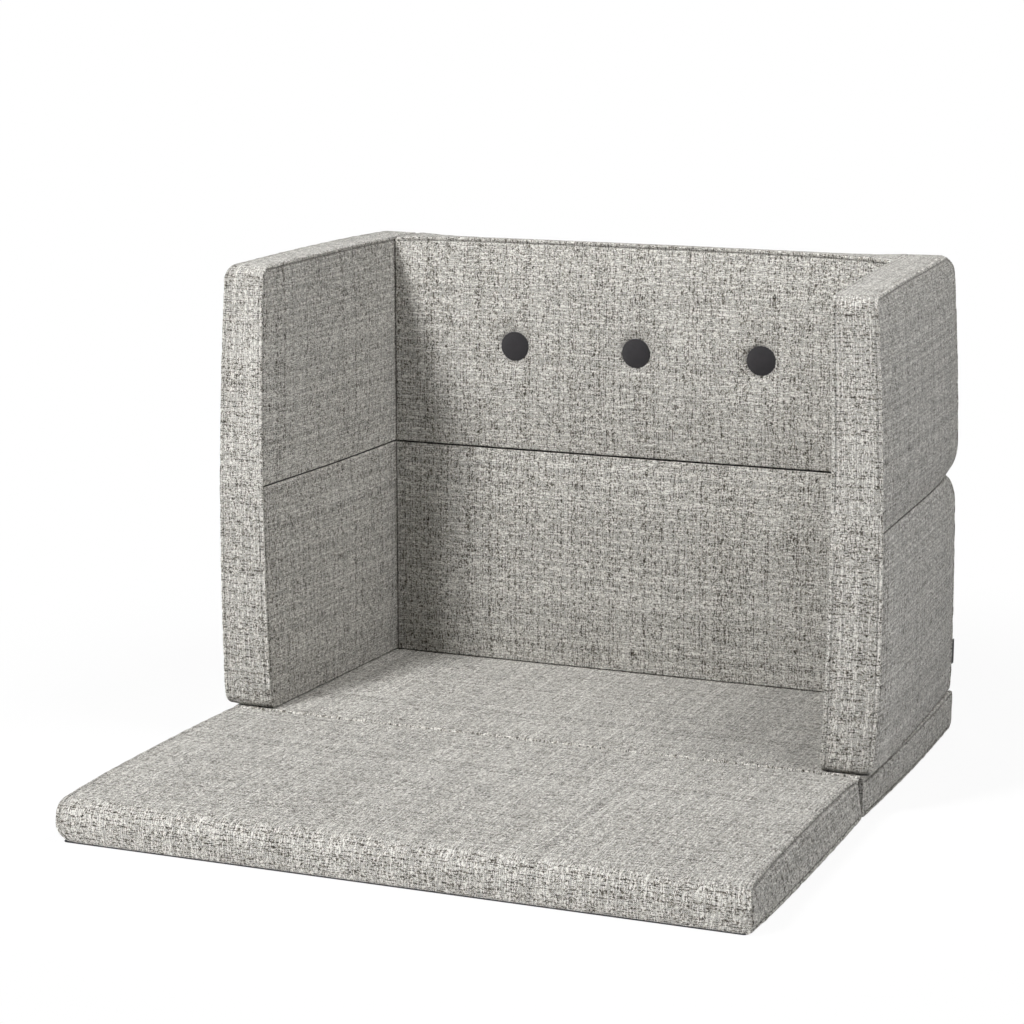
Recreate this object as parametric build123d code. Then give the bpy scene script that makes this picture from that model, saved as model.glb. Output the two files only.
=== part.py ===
from build123d import *
from typing import NamedTuple
import math
import os

# A child's folding sofa made of foam blocks in sewn covers, in millimetres.
# Two floor mats lie end to end and fold over a sewn seam. Two tiers of walls
# stand on the rear mat. Each tier is a U of a left arm, a back and a right arm.
# Origin: middle of the rear mat's underside, on the floor. +Z is up, +X is to
# the right of somebody who looks at the seat, and the front mat lies towards -Y.

# Driving dimensions
mat_width = 740.0          # both mats, side to side
base_depth = 384.0         # rear mat and walls, front to back
flap_depth = 382.0         # front mat, front to back
mat_height = 45.0          # both mats, from the floor to the top fabric
wall_overhang = 10.0       # how far the arm fronts stand out past the mats' ends
arm_thick = 57.0           # foam and cover of one arm
back_thick = 72.0          # foam and cover of the back
lower_height = 260.0       # lower tier of walls
upper_height = 244.0       # upper tier of walls
arm_splay = 20.0           # how much further out an arm stands at its front

# Covers and foam
cover_cloth = 1.5          # upholstery cloth with its lining
foam_gap = 0.3             # between the foam and the inside of its cover
rest_gap = 0.3             # between two blocks that lie or stand together
seam_ease = 3.0            # roundness of a sewn edge
rear_ease = 8.0            # softer rear edges of the back
least_radius = 0.6         # no corner of an inner piece is tighter
panel_crown = 3.5          # how far a big wall panel domes out
side_bow = 3.0             # how far a free side bows out between its corners
seat_crown = 1.5           # how far the top of a mat domes up
seat_crown_margin = 16.0   # flat border of the seat beside the walls

# Corners of the blocks, seen from the side
arm_front_top_round = 15.0
arm_rear_top_round = 16.0
arm_foot_round = 18.0      # front lower corner of the lower arms
arm_fold_round = 4.0       # front corners that meet at the fold between tiers
arm_rear_fold_round = 12.0
arm_heel_round = 8.0       # rear lower corner of the lower arms
back_end_round = 2.0       # back where it butts against the arms
back_dome_round = 14.0
mat_nose_top_round = 16.0  # soft front edge of the front mat
mat_nose_low_round = 11.0
mat_fold_round = 1.5       # top edges at the fold
mat_low_round = 5.0
mat_rear_round = 6.0
mat_end_ease = 5.0         # sewn-in end panels of the mats
mat_nose_bow = 2.0
mat_end_crown = 2.0

# Grip cloth under the mats
grip_thick = 1.2
grip_margin = 12.0

# Hinge cloth
tape_thick = 0.8
seat_tape_reach = 9.0      # from the fold onto each mat
seat_bead_radius = 1.0     # sewn ridge that runs along the fold
front_tape_reach = 22.0    # from the fold up and down the arm fronts
front_tape_margin = 8.0    # from the arm's side seams
rear_tape_reach = 20.0     # from the fold up and down the rear
rear_tape_margin = 14.0    # from the ends of the back
rear_tape_clear = 4.0      # from the tape to the domed part of the rear panel

# Tufted buttons on the upper back
button_count = 3
button_pitch = 152.0
button_drop = 120.0        # from the top of the walls to the buttons' centres
button_radius = 17.0
button_rim = 3.0           # height of the straight side of a button
button_dome = 3.5          # height of its domed top
button_clear = 0.3
tuft_depth = 4.5           # how deep a button is pulled into the panel
tuft_reach = 30.0          # radius of the dimple round a button
plate_radius = 14.0        # plate that closes the back of a button
plate_thick = 1.2
shank_radius = 3.0
shank_bite = 3.0           # how far the shank reaches into the foam
cord_radius = 1.2
cord_clear = 0.4
anchor_radius = 13.0       # disc that holds the cord behind the foam
anchor_thick = 2.0

# Blank tab sewn into the rear seam of the lower right arm
tab_height = 29.0
tab_out = 18.0
tab_thick = 1.4
tab_rise = 27.0            # from the foot of the arm to the tab
tab_inset = 9.0            # from the arm's outer face

# Shares that shape a dome: how far in, as a share of the panel's shorter
# side, and how high, as a share of the crown.
dome_in_shares = (0.0, 0.08, 0.2, 0.36)
dome_up_shares = (0.0, 0.5, 0.85, 1.0)
ease_steps = 3             # sections that round a sewn edge
overrun = 2.0              # how far a cut passes the face that it opens

# Places worked out from the sizes above
fold_y = -base_depth / 2
rear_y = base_depth / 2
back_front_y = rear_y - back_thick
wall_span = mat_width + 2 * wall_overhang
lower_foot_z = mat_height + rest_gap
tier_z = mat_height + lower_height
upper_foot_z = tier_z + rest_gap
top_z = tier_z + upper_height
lower_block_height = tier_z - lower_foot_z
upper_block_height = top_z - upper_foot_z
splay_angle = math.asin(arm_splay / base_depth)
splay_sin = math.sin(splay_angle)
splay_cos = math.cos(splay_angle)
splay_tan = math.tan(splay_angle)
arm_inner_x = wall_span / 2 - arm_thick * splay_cos
arm_length = (base_depth - arm_thick * splay_sin) / splay_cos
fold_rise = seat_crown + rest_gap
straight = (0, 0, 0, 0)


def inner_half_width(y):
    """Half the clear width between the arms at a place front to back."""
    return arm_inner_x - (y - fold_y) * splay_tan


def outline(width, low, high, rounds, bows, inset):
    """A rounded rectangle whose sides may bow out, as a flat face.

    It is centred on X and runs from low to high in Y. The rounds start at the
    left lower corner and the bows at the lower side, both anticlockwise.
    """
    half = width / 2 - inset
    v_low = low + inset
    v_high = high - inset
    corners = [(-half, v_low), (half, v_low), (half, v_high), (-half, v_high)]
    along = [Vector(1, 0), Vector(0, 1), Vector(-1, 0), Vector(0, -1)]
    outward = [Vector(0, -1), Vector(1, 0), Vector(0, 1), Vector(-1, 0)]
    radii = [max(r - inset, least_radius) for r in rounds]
    starts = []
    ends = []
    for i in range(4):
        j = (i + 1) % 4
        starts.append(Vector(*corners[i]) + along[i] * radii[i])
        ends.append(Vector(*corners[j]) - along[i] * radii[j])
    edges = []
    for i in range(4):
        j = (i + 1) % 4
        if bows[i] > 0:
            middle = (starts[i] + ends[i]) * 0.5 + outward[i] * bows[i]
            edges.append(Edge.make_three_point_arc(starts[i], middle, ends[i]))
        else:
            edges.append(Edge.make_line(starts[i], ends[i]))
        centre = ends[i] + along[j] * radii[j]
        spoke = (outward[i] + outward[j]).normalized()
        corner_middle = centre + spoke * radii[j]
        edges.append(Edge.make_three_point_arc(ends[i], corner_middle, starts[j]))
    return Face(Wire(edges))


class Block(NamedTuple):
    """A foam block in its own plane, before its panels dome out.

    It is centred on X, stands on Y 0 and runs from Z 0 to thick. The widths
    are those at Z 0 and at thick, and so are the eases of its sewn edges.
    """

    widths: tuple
    height: float
    thick: float
    rounds: tuple
    eases: tuple


def eased_slab(block, bows, steps, inset):
    """The slab of a block, with its two loops of sewn edges rounded in steps."""
    sections = []
    for k in range(steps + 1):
        turn = math.pi / 2 * k / steps
        sections.append(((1 - math.sin(turn)) * block.eases[0],
                         (1 - math.cos(turn)) * block.eases[0]))
    for k in reversed(range(steps + 1)):
        turn = math.pi / 2 * k / steps
        sections.append(((1 - math.sin(turn)) * block.eases[1],
                         block.thick - (1 - math.cos(turn)) * block.eases[1]))
    faces = []
    for drawn_in, z in sections:
        z_cut = inset + z * (block.thick - 2 * inset) / block.thick
        grow = (block.widths[1] - block.widths[0]) * z_cut / block.thick
        width = block.widths[0] + grow
        face = outline(width, 0, block.height, block.rounds, bows, inset + drawn_in)
        faces.append(Pos(0, 0, z_cut) * face)
    return loft(faces, ruled=True)


def core(block, inset):
    """The plain foam shape of a block, inset mm inside its flat faces."""
    return eased_slab(block, straight, 1, inset)


def dome(left, right, low, high, corner, crown):
    """A shallow dome that rises from Z 0 over a rounded rectangle."""
    width = right - left
    shorter = min(width, high - low)
    faces = []
    for in_share, up_share in zip(dome_in_shares, dome_up_shares):
        drawn_in = in_share * shorter
        rounds = [drawn_in + corner * (1 - 2 * in_share)] * 4
        face = outline(width, low, high, rounds, straight, drawn_in)
        faces.append(Pos((left + right) / 2, 0, up_share * crown) * face)
    return loft(faces)


def flipped(form):
    """The same form, turned to rise towards -Z."""
    return mirror(form, about=Plane.XY)


def right_arm_plane(foot_z):
    """Local X runs back along the arm, Y up and Z outwards from its inner face."""
    middle_x = arm_inner_x - arm_length / 2 * splay_sin
    middle_y = fold_y + arm_length / 2 * splay_cos
    return Plane(
        origin=(middle_x, middle_y, foot_z),
        x_dir=(-splay_sin, splay_cos, 0),
        z_dir=(splay_cos, splay_sin, 0),
    )


def back_plane(foot_z):
    """Local X runs to the right, Y up and Z forwards from the rear face."""
    return Plane(origin=(0, rear_y, foot_z), x_dir=(1, 0, 0), z_dir=(0, -1, 0))


def mat_plane(middle_y):
    """Local X runs back, Y up from the grip cloth and Z right from the left end."""
    left_end = (-mat_width / 2, middle_y, grip_thick)
    return Plane(origin=left_end, x_dir=(0, 1, 0), z_dir=(1, 0, 0))


def arm_block(height, rounds):
    """The block of one arm."""
    lengths = (arm_length, arm_length)
    return Block(lengths, height, arm_thick, rounds, (seam_ease, seam_ease))


def back_block(height):
    """The block of one back, which is wider in front between splayed arms."""
    rear_width = 2 * (inner_half_width(rear_y) - rest_gap)
    front_width = 2 * (inner_half_width(back_front_y) - rest_gap)
    rounds = [back_end_round] * 4
    widths = (rear_width, front_width)
    return Block(widths, height, back_thick, rounds, (rear_ease, seam_ease))


def mat_block(depth, rounds):
    """The block of one mat, which lies on its grip cloth."""
    height = mat_height - grip_thick
    eases = (mat_end_ease, mat_end_ease)
    return Block((depth, depth), height, mat_width, rounds, eases)


def arm_form(block, bows):
    """An arm's outer surface: a slab with a domed outer and inner panel."""
    form = eased_slab(block, bows, ease_steps, 0)
    front = -arm_length / 2 + seam_ease
    rear = arm_length / 2 - seam_ease
    high = block.height - seam_ease
    corner = max(block.rounds)
    form += Pos(0, 0, arm_thick) * dome(front, rear, seam_ease, high, corner, panel_crown)
    clear_rear = rear - back_thick / splay_cos
    return form + flipped(dome(front, clear_rear, seam_ease, high, corner, panel_crown))


def back_form(block, top_bow, rear_low):
    """A back's outer surface, with its rear panel domed above rear_low."""
    form = eased_slab(block, (0, 0, top_bow, 0), ease_steps, 0)
    half = block.widths[0] / 2 - rear_ease
    high = block.height - rear_ease
    form += flipped(dome(-half, half, rear_low, high, back_dome_round, panel_crown))
    half = block.widths[1] / 2 - panel_crown - seam_ease
    high = block.height - seam_ease
    front = dome(-half, half, seam_ease, high, back_dome_round, panel_crown)
    return form + Pos(0, 0, back_thick) * front


def mat_form(block, bows):
    """A mat's outer surface, with domed end panels."""
    form = eased_slab(block, bows, ease_steps, 0)
    half = block.widths[0] / 2 - mat_end_ease
    high = block.height - mat_end_ease
    end = dome(-half, half, mat_end_ease, high, mat_low_round, mat_end_crown)
    return form + flipped(end) + Pos(0, 0, mat_width) * end


def seat_dome():
    """Slight crown of the rear mat between the walls, in the part's own frame."""
    half = inner_half_width(back_front_y) - seat_crown_margin
    low = fold_y + seat_crown_margin
    high = back_front_y - seat_crown_margin
    crown = dome(-half, half, low, high, back_dome_round, seat_crown)
    return Pos(0, 0, mat_height) * crown


def covered(form, block, plane):
    """The hollow cover of a form, and the foam that fills it, set into a plane."""
    cover = form - core(block, cover_cloth)
    foam = core(block, cover_cloth + foam_gap)
    return plane * cover, plane * foam


def base_mat():
    """Cover and foam of the rear mat."""
    depth = base_depth - rest_gap / 2
    rounds = (mat_low_round, mat_rear_round, mat_rear_round, mat_fold_round)
    block = mat_block(depth, rounds)
    plane = mat_plane(rear_y - depth / 2)
    cover, foam = covered(mat_form(block, straight), block, plane)
    return cover + seat_dome(), foam


def front_mat():
    """Cover and foam of the front mat with its soft nose."""
    depth = flap_depth - rest_gap / 2
    rounds = (mat_nose_low_round, mat_low_round, mat_fold_round, mat_nose_top_round)
    block = mat_block(depth, rounds)
    plane = mat_plane(fold_y - rest_gap / 2 - depth / 2)
    form = mat_form(block, (0, 0, seat_crown, mat_nose_bow))
    return covered(form, block, plane)


def lower_right_arm():
    """Cover and foam of the lower right arm."""
    rounds = (arm_foot_round, arm_heel_round, arm_rear_fold_round, arm_fold_round)
    block = arm_block(lower_block_height, rounds)
    form = arm_form(block, (0, side_bow, 0, 0))
    return covered(form, block, right_arm_plane(lower_foot_z))


def upper_right_arm():
    """Cover and foam of the upper right arm."""
    rounds = (
        arm_fold_round,
        arm_rear_fold_round,
        arm_rear_top_round,
        arm_front_top_round,
    )
    block = arm_block(upper_block_height, rounds)
    form = arm_form(block, (0, side_bow, side_bow / 2, 0))
    return covered(form, block, right_arm_plane(upper_foot_z))


def lower_back():
    """Cover and foam of the lower back."""
    block = back_block(lower_block_height)
    form = back_form(block, 0, rear_tape_reach + rear_tape_clear)
    return covered(form, block, back_plane(lower_foot_z))


def upper_back():
    """Cover and foam of the upper back, tufted and opened for the buttons."""
    block = back_block(upper_block_height)
    form = back_form(block, side_bow / 2, rear_ease)
    hollow = core(block, cover_cloth)
    foam = core(block, cover_cloth + foam_gap)
    radius = tuft_sphere_radius()
    sphere_z = button_panel_z() - tuft_depth + radius
    shank_hole = upright(shank_radius + cord_clear, shank_end_z() - cord_clear, sphere_z)
    cord_hole = upright(cord_radius + cord_clear, anchor_z(), sphere_z)
    disc_top = anchor_z() + anchor_thick
    disc_hole = upright(anchor_radius + button_clear, anchor_z() - overrun, disc_top)
    for x, y in button_places():
        here = Pos(x, y, 0)
        centre = Pos(x, y, sphere_z)
        form -= centre * Sphere(radius)
        hollow -= centre * Sphere(radius + cover_cloth)
        foam -= centre * Sphere(radius + cover_cloth + foam_gap)
        foam -= here * shank_hole
        foam -= here * cord_hole
        foam -= here * disc_hole
    cover = form - hollow
    for x, y in button_places():
        cover -= Pos(x, y, 0) * shank_hole
    plane = back_plane(upper_foot_z)
    return plane * cover, plane * foam


def button_places():
    """Centres of the buttons in the upper back's own plane."""
    first = -button_pitch * (button_count - 1) / 2
    height = top_z - button_drop - upper_foot_z
    return [(first + k * button_pitch, height) for k in range(button_count)]


def button_panel_z():
    """Height of the domed front panel in the upper back's own plane."""
    return back_thick + panel_crown


def tuft_sphere_radius():
    """Radius of the sphere that presses a dimple of the tuft's reach and depth."""
    return (tuft_reach**2 + tuft_depth**2) / (2 * tuft_depth)


def button_seat_z():
    """Where the rim of a button rests in its dimple."""
    radius = tuft_sphere_radius()
    rise = radius - math.sqrt(radius**2 - button_radius**2)
    return button_panel_z() - tuft_depth + rise + button_clear


def shank_end_z():
    """Inner end of a button's shank, just inside the foam."""
    return button_panel_z() - tuft_depth - cover_cloth - foam_gap - shank_bite


def anchor_z():
    """Rear surface of the foam, where the anchor discs lie."""
    return cover_cloth + foam_gap


def upright(radius, low, high):
    """A round bar along local Z from low to high."""
    return Pos(0, 0, low) * extrude(Circle(radius), high - low)


def button_cap():
    """One cloth-covered button: a low drum with a domed top and a hollow back."""
    radius = (button_radius**2 + button_dome**2) / (2 * button_dome)
    low = button_seat_z()
    rim_top = low + button_rim
    top = upright(button_radius, low, rim_top + button_dome)
    top &= Pos(0, 0, rim_top + button_dome - radius) * Sphere(radius)
    hollow = upright(plate_radius + button_clear, low - overrun, low + plate_thick)
    return top - hollow


def button_plate():
    """The plate in the back of a button, with the shank that takes the cord."""
    low = button_seat_z()
    plate = upright(plate_radius, low, low + plate_thick)
    return plate + upright(shank_radius, shank_end_z(), low + plate_thick)


def button_cord():
    """The cord from a button's shank through the foam to its anchor disc."""
    return upright(cord_radius, anchor_z() + anchor_thick, shank_end_z())


def anchor_disc():
    """The disc that spreads the cord's pull behind the foam."""
    return upright(anchor_radius, anchor_z(), anchor_z() + anchor_thick)


def at_buttons(piece):
    """A copy of a piece at each button, as one group in the part's frame."""
    plane = back_plane(upper_foot_z)
    copies = [plane * (Pos(x, y, 0) * piece) for x, y in button_places()]
    return Compound(children=copies)


def grip_cloth(front_y, back_y):
    """Thin non-slip cloth under a mat, from front_y to back_y."""
    width = mat_width - 2 * grip_margin
    rounds = [mat_low_round] * 4
    return extrude(outline(width, front_y, back_y, rounds, straight, 0), grip_thick)


def seat_hinge_tape():
    """Cloth sewn over the fold of the mats, with a ridge on the fold line."""
    low = mat_height + rest_gap
    length = mat_width - 2 * mat_end_ease
    bead_z = mat_height + fold_rise
    web_height = bead_z - low
    profile = Pos(0, low + tape_thick / 2) * Rectangle(2 * seat_tape_reach, tape_thick)
    profile += Pos(0, low + web_height / 2) * Rectangle(2 * seat_bead_radius, web_height)
    profile += Pos(0, bead_z) * Circle(seat_bead_radius)
    left_end = (-length / 2, fold_y, 0)
    plane = Plane(origin=left_end, x_dir=(0, 1, 0), z_dir=(1, 0, 0))
    return plane * extrude(profile, length)


def right_front_hinge_tape():
    """Cloth that runs on over the arm fronts and joins the two tiers."""
    width = arm_thick - 2 * front_tape_margin
    tape = Box(tape_thick, 2 * front_tape_reach, width)
    front = -arm_length / 2 - tape_thick / 2
    return right_arm_plane(tier_z + rest_gap / 2) * (Pos(front, 0, arm_thick / 2) * tape)


def rear_hinge_tape():
    """Cloth that joins the foot of the lower back to the rear mat."""
    width = 2 * (inner_half_width(rear_y) - rear_tape_margin)
    tape = Box(width, tape_thick, 2 * rear_tape_reach)
    return Pos(0, rear_y + tape_thick / 2, mat_height + rest_gap / 2) * tape


def lower_rear_bow(height):
    """How far the lower arm's rear side stands out at a height above its foot."""
    half = (lower_block_height - arm_heel_round - arm_rear_fold_round) / 2
    middle = arm_heel_round + half
    return side_bow * (1 - ((height - middle) / half) ** 2)


def side_tab():
    """Blank cloth tab that stands out of the lower right arm's rear seam."""
    rear = arm_length / 2 + lower_rear_bow(tab_rise + tab_height) + rest_gap
    tab = Box(tab_out, tab_height, tab_thick)
    place = Pos(rear + tab_out / 2, tab_rise + tab_height / 2, arm_thick - tab_inset)
    return right_arm_plane(lower_foot_z) * (place * tab)


def build_nodes():
    """Every piece of the sofa by its node's name."""
    nodes = {}
    nodes["base_mat_cover"], nodes["base_mat_foam"] = base_mat()
    nodes["base_grip_cloth"] = grip_cloth(fold_y + grip_margin, rear_y - grip_margin)
    nodes["front_mat_cover"], nodes["front_mat_foam"] = front_mat()
    flap_front = fold_y - flap_depth
    nodes["front_grip_cloth"] = grip_cloth(flap_front + grip_margin, fold_y - grip_margin)
    nodes["seat_hinge_tape"] = seat_hinge_tape()
    for tier, right_arm in (("lower", lower_right_arm), ("upper", upper_right_arm)):
        cover, foam = right_arm()
        nodes[tier + "_right_arm_cover"] = cover
        nodes[tier + "_right_arm_foam"] = foam
        nodes[tier + "_left_arm_cover"] = mirror(cover, about=Plane.YZ)
        nodes[tier + "_left_arm_foam"] = mirror(foam, about=Plane.YZ)
    nodes["lower_back_cover"], nodes["lower_back_foam"] = lower_back()
    nodes["upper_back_cover"], nodes["upper_back_foam"] = upper_back()
    tape = right_front_hinge_tape()
    nodes["right_front_hinge_tape"] = tape
    nodes["left_front_hinge_tape"] = mirror(tape, about=Plane.YZ)
    nodes["rear_hinge_tape"] = rear_hinge_tape()
    nodes["back_buttons"] = at_buttons(button_cap())
    nodes["button_plates"] = at_buttons(button_plate())
    nodes["button_cords"] = at_buttons(button_cord())
    nodes["anchor_discs"] = at_buttons(anchor_disc())
    nodes["side_tab"] = side_tab()
    return nodes


if __name__ == "__main__":
    os.makedirs("parts", exist_ok=True)
    for name, piece in build_nodes().items():
        export_step(piece, "parts/" + name + ".step")
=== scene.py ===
"""Looks of a child's folding foam sofa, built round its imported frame.

Metres throughout. +Z is up, +X is to the right of somebody who looks at the
seat, and the front mat lies towards -Y. Every block of foam is one closed
surface: an outline in the block's own plane, carried along a profile that
runs from the middle of one panel over both sewn edges to the middle of the
other panel.
"""

import logging
import math
from dataclasses import dataclass
from enum import Enum

import bmesh
import bpy
import numpy as np
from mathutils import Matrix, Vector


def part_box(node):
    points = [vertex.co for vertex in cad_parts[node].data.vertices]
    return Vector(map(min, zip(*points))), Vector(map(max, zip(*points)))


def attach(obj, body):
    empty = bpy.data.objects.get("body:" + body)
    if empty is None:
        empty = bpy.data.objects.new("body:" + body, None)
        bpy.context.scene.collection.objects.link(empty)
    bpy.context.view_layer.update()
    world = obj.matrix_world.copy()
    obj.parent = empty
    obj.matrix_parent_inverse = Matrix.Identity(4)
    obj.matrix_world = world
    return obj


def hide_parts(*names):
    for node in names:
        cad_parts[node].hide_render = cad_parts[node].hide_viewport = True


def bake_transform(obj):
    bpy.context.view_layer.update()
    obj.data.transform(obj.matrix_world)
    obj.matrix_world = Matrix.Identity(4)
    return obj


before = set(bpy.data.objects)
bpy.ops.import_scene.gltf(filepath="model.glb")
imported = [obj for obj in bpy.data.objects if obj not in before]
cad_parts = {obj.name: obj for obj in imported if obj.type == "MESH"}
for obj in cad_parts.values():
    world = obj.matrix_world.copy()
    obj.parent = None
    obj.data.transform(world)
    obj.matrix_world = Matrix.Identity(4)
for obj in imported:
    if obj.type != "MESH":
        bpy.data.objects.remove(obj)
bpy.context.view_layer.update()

MM = 0.001
MERGED_WITHIN = 1e-6
FULL_TURN = 2 * math.pi
Triple = tuple[float, float, float]
Array = np.ndarray

logging.basicConfig(level=logging.INFO, format="%(message)s")
log = logging.getLogger("sofa")


class Body(Enum):
    """The bodies that a piece can ride on."""

    BASE = "base"
    FRONT_MAT = "front_mat"
    LOWER = "lower_walls"
    UPPER = "upper_walls"


class Slot(Enum):
    """Material slots."""

    UPHOLSTERY = "upholstery"
    HINGE_CLOTH = "hinge_cloth"
    GRIP_CLOTH = "grip_cloth"
    BUTTON_CLOTH = "button_cloth"
    BUTTON_METAL = "button_metal"
    CORD = "cord"
    ANCHOR_PLASTIC = "anchor_plastic"
    TAB_CLOTH = "tab_cloth"


class Side(Enum):
    """Left or right of somebody who looks at the seat."""

    LEFT = -1.0
    RIGHT = 1.0

    @property
    def label(self) -> str:
        """The side's word in the names of pieces."""
        return self.name.lower()


@dataclass(frozen=True)
class Sizes:
    """Driving dimensions of the sofa and the places worked out from them."""

    mat_width: float = 740 * MM
    base_depth: float = 384 * MM
    flap_depth: float = 382 * MM
    mat_height: float = 45 * MM
    wall_overhang: float = 10 * MM
    arm_thick: float = 57 * MM
    back_thick: float = 72 * MM
    lower_height: float = 260 * MM
    upper_height: float = 244 * MM
    arm_splay: float = 20 * MM
    rest_gap: float = 0.3 * MM
    grip_thick: float = 1.2 * MM
    panel_crown: float = 3.5 * MM
    side_bow: float = 3 * MM
    seat_crown: float = 1.5 * MM
    button_pitch: float = 152 * MM
    button_drop: float = 120 * MM
    button_shift: float = 1.3 * MM
    button_count: int = 3

    @property
    def fold_y(self) -> float:
        """Where the two mats meet, and the plane of the arm fronts."""
        return -self.base_depth / 2

    @property
    def rear_y(self) -> float:
        """The rear of the base mat and of the walls."""
        return self.base_depth / 2

    @property
    def back_front_y(self) -> float:
        """The front of the back."""
        return self.rear_y - self.back_thick

    @property
    def lower_foot_z(self) -> float:
        """Underside of the lower walls."""
        return self.mat_height + self.rest_gap

    @property
    def tier_z(self) -> float:
        """Top of the lower walls."""
        return self.mat_height + self.lower_height

    @property
    def upper_foot_z(self) -> float:
        """Underside of the upper walls."""
        return self.tier_z + self.rest_gap

    @property
    def top_z(self) -> float:
        """Top of the upper walls."""
        return self.tier_z + self.upper_height

    def tier(self, upper: bool) -> tuple[float, float]:
        """Underside and height of a tier's blocks."""
        foot = self.upper_foot_z if upper else self.lower_foot_z
        return foot, (self.top_z if upper else self.tier_z) - foot

    @property
    def splay(self) -> float:
        """How far an arm turns outwards to its front, in radians."""
        return math.asin(self.arm_splay / self.base_depth)

    @property
    def arm_inner_x(self) -> float:
        """Half the clear width between the arm fronts."""
        half = self.mat_width / 2 + self.wall_overhang
        return half - self.arm_thick * math.cos(self.splay)

    @property
    def arm_length(self) -> float:
        """Length of an arm along its own inner face."""
        rise = self.arm_thick * math.sin(self.splay)
        return (self.base_depth - rise) / math.cos(self.splay)

    def inner_half_width(self, y: float) -> float:
        """Half the clear width between the arms at a place front to back."""
        return self.arm_inner_x - (y - self.fold_y) * math.tan(self.splay)

    def button_places(self) -> list[tuple[float, float]]:
        """Centres of the buttons, across and up from the upper back's foot."""
        first = self.button_shift - self.button_pitch * (self.button_count - 1) / 2
        up = self.top_z - self.button_drop - self.upper_foot_z
        return [(first + k * self.button_pitch, up) for k in range(self.button_count)]


SIZES = Sizes()


def placed(name: str, data: bpy.types.ID) -> bpy.types.Object:
    """A new object of the scene, at the origin, with that data."""
    made = bpy.data.objects.new(name, data)
    bpy.context.scene.collection.objects.link(made)
    return made


def mesh_from_quads(
    name: str,
    points: Array,
    quads: Array,
    cloth: Array | None = None,
    seam: Array | None = None,
) -> bpy.types.Object:
    """Makes a closed, smooth mesh object from whole arrays.

    Points that coincide are merged, so grids whose edges meet become one skin,
    and the faces are then turned outwards.

    Args:
        name: name of the object.
        points: places of the vertices, in a grid of any shape, by 3.
        quads: four vertex numbers a face, in a grid of any shape, by 4.
        cloth: place on the cloth of every face corner, by 2, in metres.
        seam: relief of the sewing at each vertex, from -1 in a groove to 1 and below -1 in a gap;
            the cloth paints highlight and shade from it.

    Returns:
        The linked object.
    """
    mesh = bpy.data.meshes.new(name)
    mesh.vertices.add(points.size // 3)
    mesh.vertices.foreach_set("co", np.ascontiguousarray(points, np.float32).ravel())
    mesh.loops.add(quads.size)
    mesh.loops.foreach_set("vertex_index", np.ascontiguousarray(quads, np.int32).ravel())
    mesh.polygons.add(quads.size // 4)
    mesh.polygons.foreach_set("loop_start", np.arange(0, quads.size, 4, dtype=np.int32))
    if cloth is not None:
        layer = mesh.uv_layers.new(name=Weave.uv_map)
        layer.data.foreach_set("uv", np.ascontiguousarray(cloth, np.float32).ravel())
    if seam is not None:
        attribute = mesh.attributes.new(Weave.seam_attribute, "FLOAT", "POINT")
        attribute.data.foreach_set("value", seam.astype(np.float32).ravel())
    mesh.update(calc_edges=True)
    bench = bmesh.new()
    bench.from_mesh(mesh)
    bmesh.ops.remove_doubles(bench, verts=bench.verts, dist=MERGED_WITHIN)
    bmesh.ops.recalc_face_normals(bench, faces=bench.faces)
    bench.to_mesh(mesh)
    bench.free()
    mesh.shade_smooth()
    return placed(name, mesh)


def grid_quads(rows: int, columns: int, wraps: bool) -> Array:
    """Faces of a grid of rows and columns of vertices.

    Args:
        rows: rows of vertices.
        columns: vertices in a row.
        wraps: whether the last column joins the first.

    Returns:
        Vertex numbers, four a face.
    """
    spans = columns if wraps else columns - 1
    i, j = np.meshgrid(np.arange(rows - 1), np.arange(spans), indexing="ij")
    after = (j + 1) % columns
    corners = [i * columns + j, i * columns + after,
               (i + 1) * columns + after, (i + 1) * columns + j]
    return np.stack(corners, -1).reshape(-1, 4)


def copied_quads(quads: Array, size: int, count: int) -> Array:
    """Faces of copies of one mesh whose points, size of them each, follow one another."""
    return quads + size * np.arange(count)[:, None, None]


def with_height(flat: Array, height: Array) -> Array:
    """Rows of flat vectors with a third number, one for each row."""
    third = np.broadcast_to(height[:, None, None], flat.shape[:2] + (1,))
    return np.concatenate([flat, third], -1)


def run_lengths(line: Array) -> Array:
    """Length along a line of points up to each of them."""
    return np.append(0, np.cumsum(np.linalg.norm(np.diff(line, axis=0), axis=1)))


def end_caps(rows: int, columns: int, half: int, shared: bool) -> Array:
    """Faces that close both ends of a tube whose section runs out and back.

    Args:
        rows: rows of vertices along the tube.
        columns: vertices round it.
        half: vertices of a section on the way out.
        shared: whether the way back starts and ends on the way out's own ends.

    Returns:
        Vertex numbers, four a face.
    """
    step = np.arange(half - 1)
    caps = []
    for row in (0, rows - 1):
        there = row * columns + step
        back = [row * columns + (columns - k - step) % columns for k in (0, 1, 2)]
        before, after = back[:2] if shared else back[1:]
        caps.append(np.stack([there, there + 1, after, before], -1))
    return np.concatenate(caps)


def corner_values(values: Array) -> Array:
    """Values of a grid's vertices, with one more column than spans, at each face corner."""
    return np.stack([values[:-1, :-1], values[:-1, 1:], values[1:, 1:], values[1:, :-1]], 2)


class Warp:
    """Moves of a soft piece out of its drawn shape, in the frame's own axes."""

    def moves(self, points: Array, across: Array) -> Array:
        """No moves at all; the warps below say otherwise.

        Args:
            points: places in the frame's axes, n by 3.
            across: share of the block's thickness at each, from 0 to 1.

        Returns:
            Moves, n by 3.
        """
        return np.zeros_like(points)


def bell(distance: Array, width: float) -> Array:
    """Bell curve: the exponential of minus the square of the distance in widths."""
    return np.exp(-((distance / width) ** 2))


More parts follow.
